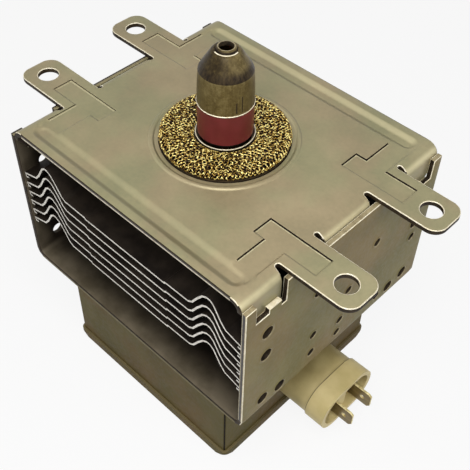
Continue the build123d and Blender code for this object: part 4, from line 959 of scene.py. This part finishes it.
def yoke_grid(holes):
    """Places where the flat yoke is sampled: its bends, and a coarse grid away from the holes."""
    bend = np.linspace(YOKE_FLAT, YOKE_FLAT + YOKE_BEND_LENGTH, 9)
    bends = lattice(np.concatenate((-bend, bend)), spaced(38.5, 1.75))
    wall = np.arange(51, 97, 2.8)
    grid = lattice(np.concatenate((spaced(42, 2.8), wall, -wall)), spaced(38.5, 2.75))
    centres = np.array([np.mean(hole, axis=0) for hole in holes])
    near = np.array([np.min(np.hypot(*(centres - p).T)) < 3.6 for p in grid])
    return [bends, grid[~near]]


def wall_rule(middle, normal, slot):
    """Looks of the yoke's cut edges: painted light on the tops and outlines, painted shade along the outer
    side of the left wall's top, and dark cut steel with painted shade on the sides of the notches and far
    ends.
    """
    x, y, z = middle[:, 0], np.abs(middle[:, 1]), middle[:, 2]
    cut, rounding = slot == CUT, slot == ROUNDING
    floor, outer = np.abs(x) < YOKE_FLAT, np.abs(x) > WALL_MIDDLE
    tall, below, bottom = z > WALL_TALL, z < NOTCH_LOW, z < YOKE_BOTTOM + 1
    top = cut & (normal[:, 2] > 0.7) & (z > NOTCH_LOW)
    end = rounding & (y > ROUND_END)
    rest = rounding & (y < ROUND_END)
    return [
        (top & tall, "wall_top"),
        ((rounding | top) & (x < 0) & tall, "left_top"),
        (rounding & (x < 0.3 - YOKE_HALF_X) & tall, "cut_edge"),
        (top & (np.abs(z - NOTCH_TONGUE) < 0.2), "edge_line"),
        (cut & (y > CUT_END) & ~bottom & (x > YOKE_FLAT), "wall_edge"),
        (cut & (y > CUT_END) & floor, "floor_edge"),
        (end & (x < WALL_MIDDLE), "cut_edge"),
        (end & floor & bottom, "wall_top"),
        (rest & ~floor & ~outer & below, "cut_edge"),
        (rest & outer & below, "wall_top"),
    ]


def make_yoke():
    """Lower yoke, cut and punched as a flat sheet and then folded. Each hole of a wall has a raised rim."""
    punched = [(sx * wall_run(YOKE_BOTTOM + up), y, radius) for sx in (-1, 1) for y, up, radius in WALL_HOLES]
    holes = [circle(0, 0, BORE, 60)]
    holes += [circle(s, y, radius, 28) for s, y, radius in punched]
    holes += [circle(sx * BURR_X, sy * BURR_Y, BURR, 28) for sx in (1, -1) for sy in (1, -1)]
    rims = [np.array(circle(s, y, radius + d, 28)) for s, y, radius in punched for d in (0.3, 0.5, 0.75, 1.1)]
    flat, faces = triangulate(yoke_outline(), holes, np.concatenate(rims + yoke_grid(holes)), 0.26)
    heights = np.zeros(len(flat))
    for s, y, radius in punched:
        off = np.hypot(flat[:, 0] - s, flat[:, 1] - y)
        heights += PUNCHED_RIM * (1 - smooth_step(off, radius + 0.28, radius + 0.8))
    placed = fold_up(flat, heights)
    piece = add_piece("yoke", placed, faces[:, ::-1].tolist(), YOKE_LOOKS, "zinc_wall", "lower_yoke")
    thicken(piece, SHEET, 0.2)
    repaint(piece, YOKE_LOOKS, wall_rule)


# Antenna

CAP_LOOKS = ("cap_steel", "wall_top", "cut_edge", "edge_line")


def turn(name, outline, steps, looks, slot, *replaced, dent=None, sharp=38):
    """Closed outline of (radius, height) turned about the antenna axis. dent lowers a radius at an angle."""
    points = []
    for i in range(steps):
        a = 2 * math.pi * i / steps
        for r, z in outline:
            r -= dent(a, r, z) if dent else 0
            points.append((r * math.cos(a), r * math.sin(a), z))
    piece = add_piece(name, points, ring_faces(steps, len(outline)), looks, slot, *replaced)
    settle(piece, sharp)
    return piece


def cap_dent(angle, radius, height):
    """Depth of the creases on the outside of the cap's side."""
    if radius < CAP - 0.25 or height > 20.3:
        return 0.0
    depth = 0.0
    for place, width, deep, low, high in CAP_CREASES:
        off = (math.degrees(angle) - place + 180) % 360 - 180
        if low < height < high:
            depth += deep * math.exp(-(off / width) ** 2)
    return depth


def cap_outline():
    """Section of the cap's shell: its foot, side and dome, the bead round its hole, and its inside."""
    foot = [(7.3, 13.02), (7.9, 13.02), (7.92, 13.2), (8.06, 13.26), (8.06, 13.4), (7.94, 13.5), (CAP, 13.62)]
    side = [(CAP - 0.35 * ((z - 13.6) / 9.7) ** 2, z) for z in np.arange(14.0, 23.2, 0.5)]
    dome = [(7.49, 23.25), (7.38, 23.5), (7.14, 24.0), (6.56, 25.0), (5.93, 26.0), (5.3, 27.0), (4.72, 27.95),
            (4.2, 28.75)]
    bead = [(3.86, 29.12), (3.66, 29.2), (3.5, 29.36), (3.38, 29.46), (3.2, 29.48), (3.0, 29.38),
            (2.9, 29.24), (2.8, 29.5), (2.72, 29.9), (2.56, 30.12), (2.36, 30.21), (2.24, 30.25),
            (2.1, 30.21), (1.98, 30.0)]
    inner = [(1.96, 29.0), (3.0, 28.3), (4.6, 26.6), (5.9, 24.4), (6.9, 22.0), (7.1, 20.0), (7.1, 13.4)]
    return foot + side + dome + bead + inner


def cap_rule(middle, normal, slot):
    """Painted highlight lines round the foot and on the bead's side towards the front corner, painted light
    on the bead's top, and painted shade below the foot line, in the bead's groove, in the hole and in the
    creases.
    """
    x, y, z = middle.T
    r, angle = np.hypot(x, y), np.degrees(np.arctan2(y, x))
    # Only the side of the bead that faces the front corner gets the painted highlight
    near_corner = x * CORNER_X + y * CORNER_Y > 1.6
    pairs = [
        (between(z, 13.22, 13.48) & (r > 7.9), "edge_line"),
        ((z < 13.22) & (r > 7.6), "cut_edge"),
        ((z > 30.2) & between(r, 2.1, 2.5), "wall_top"),
        (between(z, 29.4, 29.6) & between(r, 3.1, 3.46) & near_corner, "edge_line"),
        (between(z, 29.2, 29.9) & between(r, 2.7, 3.05), "cut_edge"),
        (r < 2.1, "cut_edge"),
    ]
    for place, _, _, low, high in CAP_CREASES:
        pairs.append(((np.abs(angle - place) < 1.3) & between(z, low, high) & (r > 7.4), "cut_edge"))
    return pairs


def make_cap():
    cap = turn("cap_shell", cap_outline(), 144, CAP_LOOKS, "cap_steel", "antenna_cap", dent=cap_dent)
    repaint(cap, CAP_LOOKS, cap_rule)


def make_sleeve():
    """Ceramic sleeve between the neck and the cap, with painted shade in the gap at its foot."""
    looks = ("red_ceramic", "crease")
    inner, foot = CERAMIC - 1.8, CERAMIC - 0.5
    low, top = NECK_TOP + 0.05, CERAMIC_TOP - 0.1
    outline = [(inner, low), (foot, low), (foot, 3.3), (CERAMIC - 0.12, 3.35), (CERAMIC, 3.5), (CERAMIC, 8.0),
               (CERAMIC, top - 0.15), (CERAMIC - 0.15, top), (inner, top)]
    sleeve = turn("ceramic_sleeve", outline, 96, looks, "red_ceramic", "antenna_ceramic")
    repaint(sleeve, looks, lambda middle, normal, slot: [(middle[:, 2] < 3.4, "crease")])


def make_neck_lip():
    """Rolled lip of the shell's neck round the foot of the ceramic, with a painted highlight on its top and
    painted shade on its lower part.
    """
    looks = ("edge_line", "crease")
    outline = [(NECK - 0.05, 1.6), (NECK + 0.12, 1.6), (NECK + 0.12, 2.3), (NECK + 0.16, 2.36),
               (NECK + 0.18, 2.54), (NECK + 0.12, 2.6), (NECK, 2.6), (NECK - 0.05, 2.54)]
    lip = turn("neck_lip", outline, 120, looks, "seal_metal")
    repaint(lip, looks, lambda middle, normal, slot: [(middle[:, 2] < 2.32, "crease")])


# Gasket

def gasket_path():
    """Cross-section of the gasket from its inner foot over the top to its outer foot, as (radius, height)."""
    low, top = GASKET_LOW + ROW_DEPTH, GASKET_TOP - ROW_DEPTH
    left, right = GASKET_IN + ROW_DEPTH, GASKET_OUT - ROW_DEPTH
    corner = 0.8
    path = [(left, low)]
    path += arc(left + corner, top - corner, corner, 180, 90, 4)
    path += arc(right - corner, top - corner, corner, 90, 0, 4)
    path.append((right, low))
    return np.array(path)


def along(path, distances):
    """Places and directions at distances along a run of straight pieces, and the length of the run."""
    steps = np.diff(path, axis=0)
    ends = np.concatenate(([0], np.cumsum(np.hypot(*steps.T))))
    place, ahead, back = [
        np.column_stack([np.interp(distances + shift, ends, path[:, i]) for i in (0, 1)])
        for shift in (0, 0.05, -0.05)
    ]
    way = ahead - back
    return place, way / np.maximum(np.hypot(*way.T), 1e-9)[:, None], ends[-1]


def swing_round(pairs, angle):
    """Takes pairs of (radius, height) to their angles about the antenna axis."""
    return np.column_stack((pairs[:, 0] * np.cos(angle), pairs[:, 0] * np.sin(angle), pairs[:, 1]))


def unit(vectors):
    return vectors / np.linalg.norm(vectors, axis=1)[:, None]


def knit_row(path, length, middle, random):
    """Centre line of one closed row of loops, and the direction out of the gasket at each of its points.
    middle is the row's distance along the path."""
    radius = along(path, np.array([middle]))[0][0][0]
    loops = max(20, round(2 * math.pi * radius / LOOP_WIDTH))
    count = loops * 11
    t = np.arange(count) / count
    phase = 2 * math.pi * (t * loops + random.random())
    wander = np.zeros(count)
    lift = np.zeros(count)
    for wave in (3, 7, 13, 29):
        wander += random.normal(0, 0.1) * np.cos(2 * math.pi * wave * t + random.uniform(0, 6.28))
        lift += random.normal(0, 0.045) * np.cos(2 * math.pi * wave * t + random.uniform(0, 6.28))
    across = middle + LOOP_SWING * np.sin(phase) + wander
    place, way, _ = along(path, np.clip(across, 0.06, length - 0.06))
    normal = np.column_stack((-way[:, 1], way[:, 0]))
    place = place + normal * (LOOP_RISE * np.cos(2 * phase) + lift)[:, None]
    angle = 2 * math.pi * t + LOOP_LEAN / radius * np.sin(2 * phase)
    return swing_round(place, angle), swing_round(normal, angle)


def wire_points(centre, out):
    """Points of a round wire along a closed line, in rings of WIRE_SIDES points."""
    ahead = unit(np.roll(centre, -1, axis=0) - np.roll(centre, 1, axis=0))
    side = unit(np.cross(ahead, out))
    out = np.cross(side, ahead)
    ring = []
    for k in range(WIRE_SIDES):
        a = 2 * math.pi * k / WIRE_SIDES
        ring.append(centre + WIRE * (math.cos(a) * side + math.sin(a) * out))
    return np.stack(ring, axis=1).reshape(-1, 3).tolist()


def make_gasket():
    """Knitted wire, as rows of interlocking loops laid over the gasket's cross-section, on a core painted
    dark as shade between the wires.
    """
    random = np.random.default_rng(7)
    path = gasket_path()
    length = along(path, np.array([0.0]))[2]
    points, faces = [], []
    for row in range(int(length / ROW_PITCH)):
        centre, out = knit_row(path, length, ROW_PITCH * (row + 0.5), random)
        faces += ring_faces(len(centre), WIRE_SIDES, len(points))
        points += wire_points(centre, out)
    wires = add_piece("gasket_wire", points, faces, ("brass_mesh",), "brass_mesh", "mesh_gasket")
    settle(wires, 180)

    inner, outer = GASKET_IN + 0.45, GASKET_OUT - 0.45
    core = np.column_stack((np.clip(path[:, 0], inner, outer), np.minimum(path[:, 1], GASKET_TOP - 0.95)))
    core = np.concatenate((core, [(outer, GASKET_LOW), (inner, GASKET_LOW)]))
    turn("gasket_core", core[::-1], 180, ("gasket_shade",), "brass_mesh", sharp=40)


# Filter box

def make_tabs():
    """Two push-on tabs with bevelled tips and a small hole."""
    looks = ("tab_metal", "tab_metal", "tab_edge", "tab_edge")
    chamfer, hole, slant = 1.0, 0.7, 0.2
    outline = [(TAB_START, -TAB_HALF), (TAB_END - chamfer, -TAB_HALF), (TAB_END, chamfer - TAB_HALF),
               (TAB_END, TAB_HALF - chamfer), (TAB_END - chamfer, TAB_HALF), (TAB_START, TAB_HALF)]
    free = lattice(np.arange(TAB_START + 0.9, TAB_END, 0.9), spaced(2.4, 0.8))
    flat, faces = triangulate(dense(outline, 1.2), [circle(TAB_END - TAB_HALF, 0, hole, 20)], free, 0.2)
    for number, side in ((1, 1), (2, -1)):
        y = side * TAB_Y - TAB_SHEET / 2
        slope = np.clip(flat[:, 0] - (TAB_END - 1.1), 0, None) * slant
        points = np.column_stack((flat[:, 0], y + slope, CONNECTOR_Z + flat[:, 1]))
        node = f"tab_terminal_{number}"
        piece = add_piece(f"tab_{number}", points, faces.tolist(), looks, "tab_metal", node)
        thicken(piece, TAB_SHEET, 0.13)


def make_seam():
    """Thin dark joint where the box's sheet ends meet, at its front right corner."""
    corner, lift, rows = 1.0, 0.04, 14
    section = arc(BOX_X - corner, corner - BOX_Y, corner + lift, -60, -30, 4)
    heights = np.linspace(BOX_TOP - 1.0, LID_TOP + 0.3, rows)
    points = [(x, y, z) for z in heights for x, y in section]
    n = len(section)
    starts = [i * n + k for i in range(rows - 1) for k in range(n - 1)]
    faces = [(s, s + n, s + n + 1, s + 1) for s in starts]
    piece = add_piece("box_seam", points, faces, ("crease",) * 4, "zinc_box")
    thicken(piece, 0.12, 0.02)


bpy.context.scene.view_settings.view_transform = "Standard"
place_camera()
make_floor()
make_world()
make_lamps()
make_finishes()
dress_nodes()
make_plate()
make_yoke()
make_cap()
make_sleeve()
make_neck_lip()
make_gasket()
make_tabs()
make_seam()
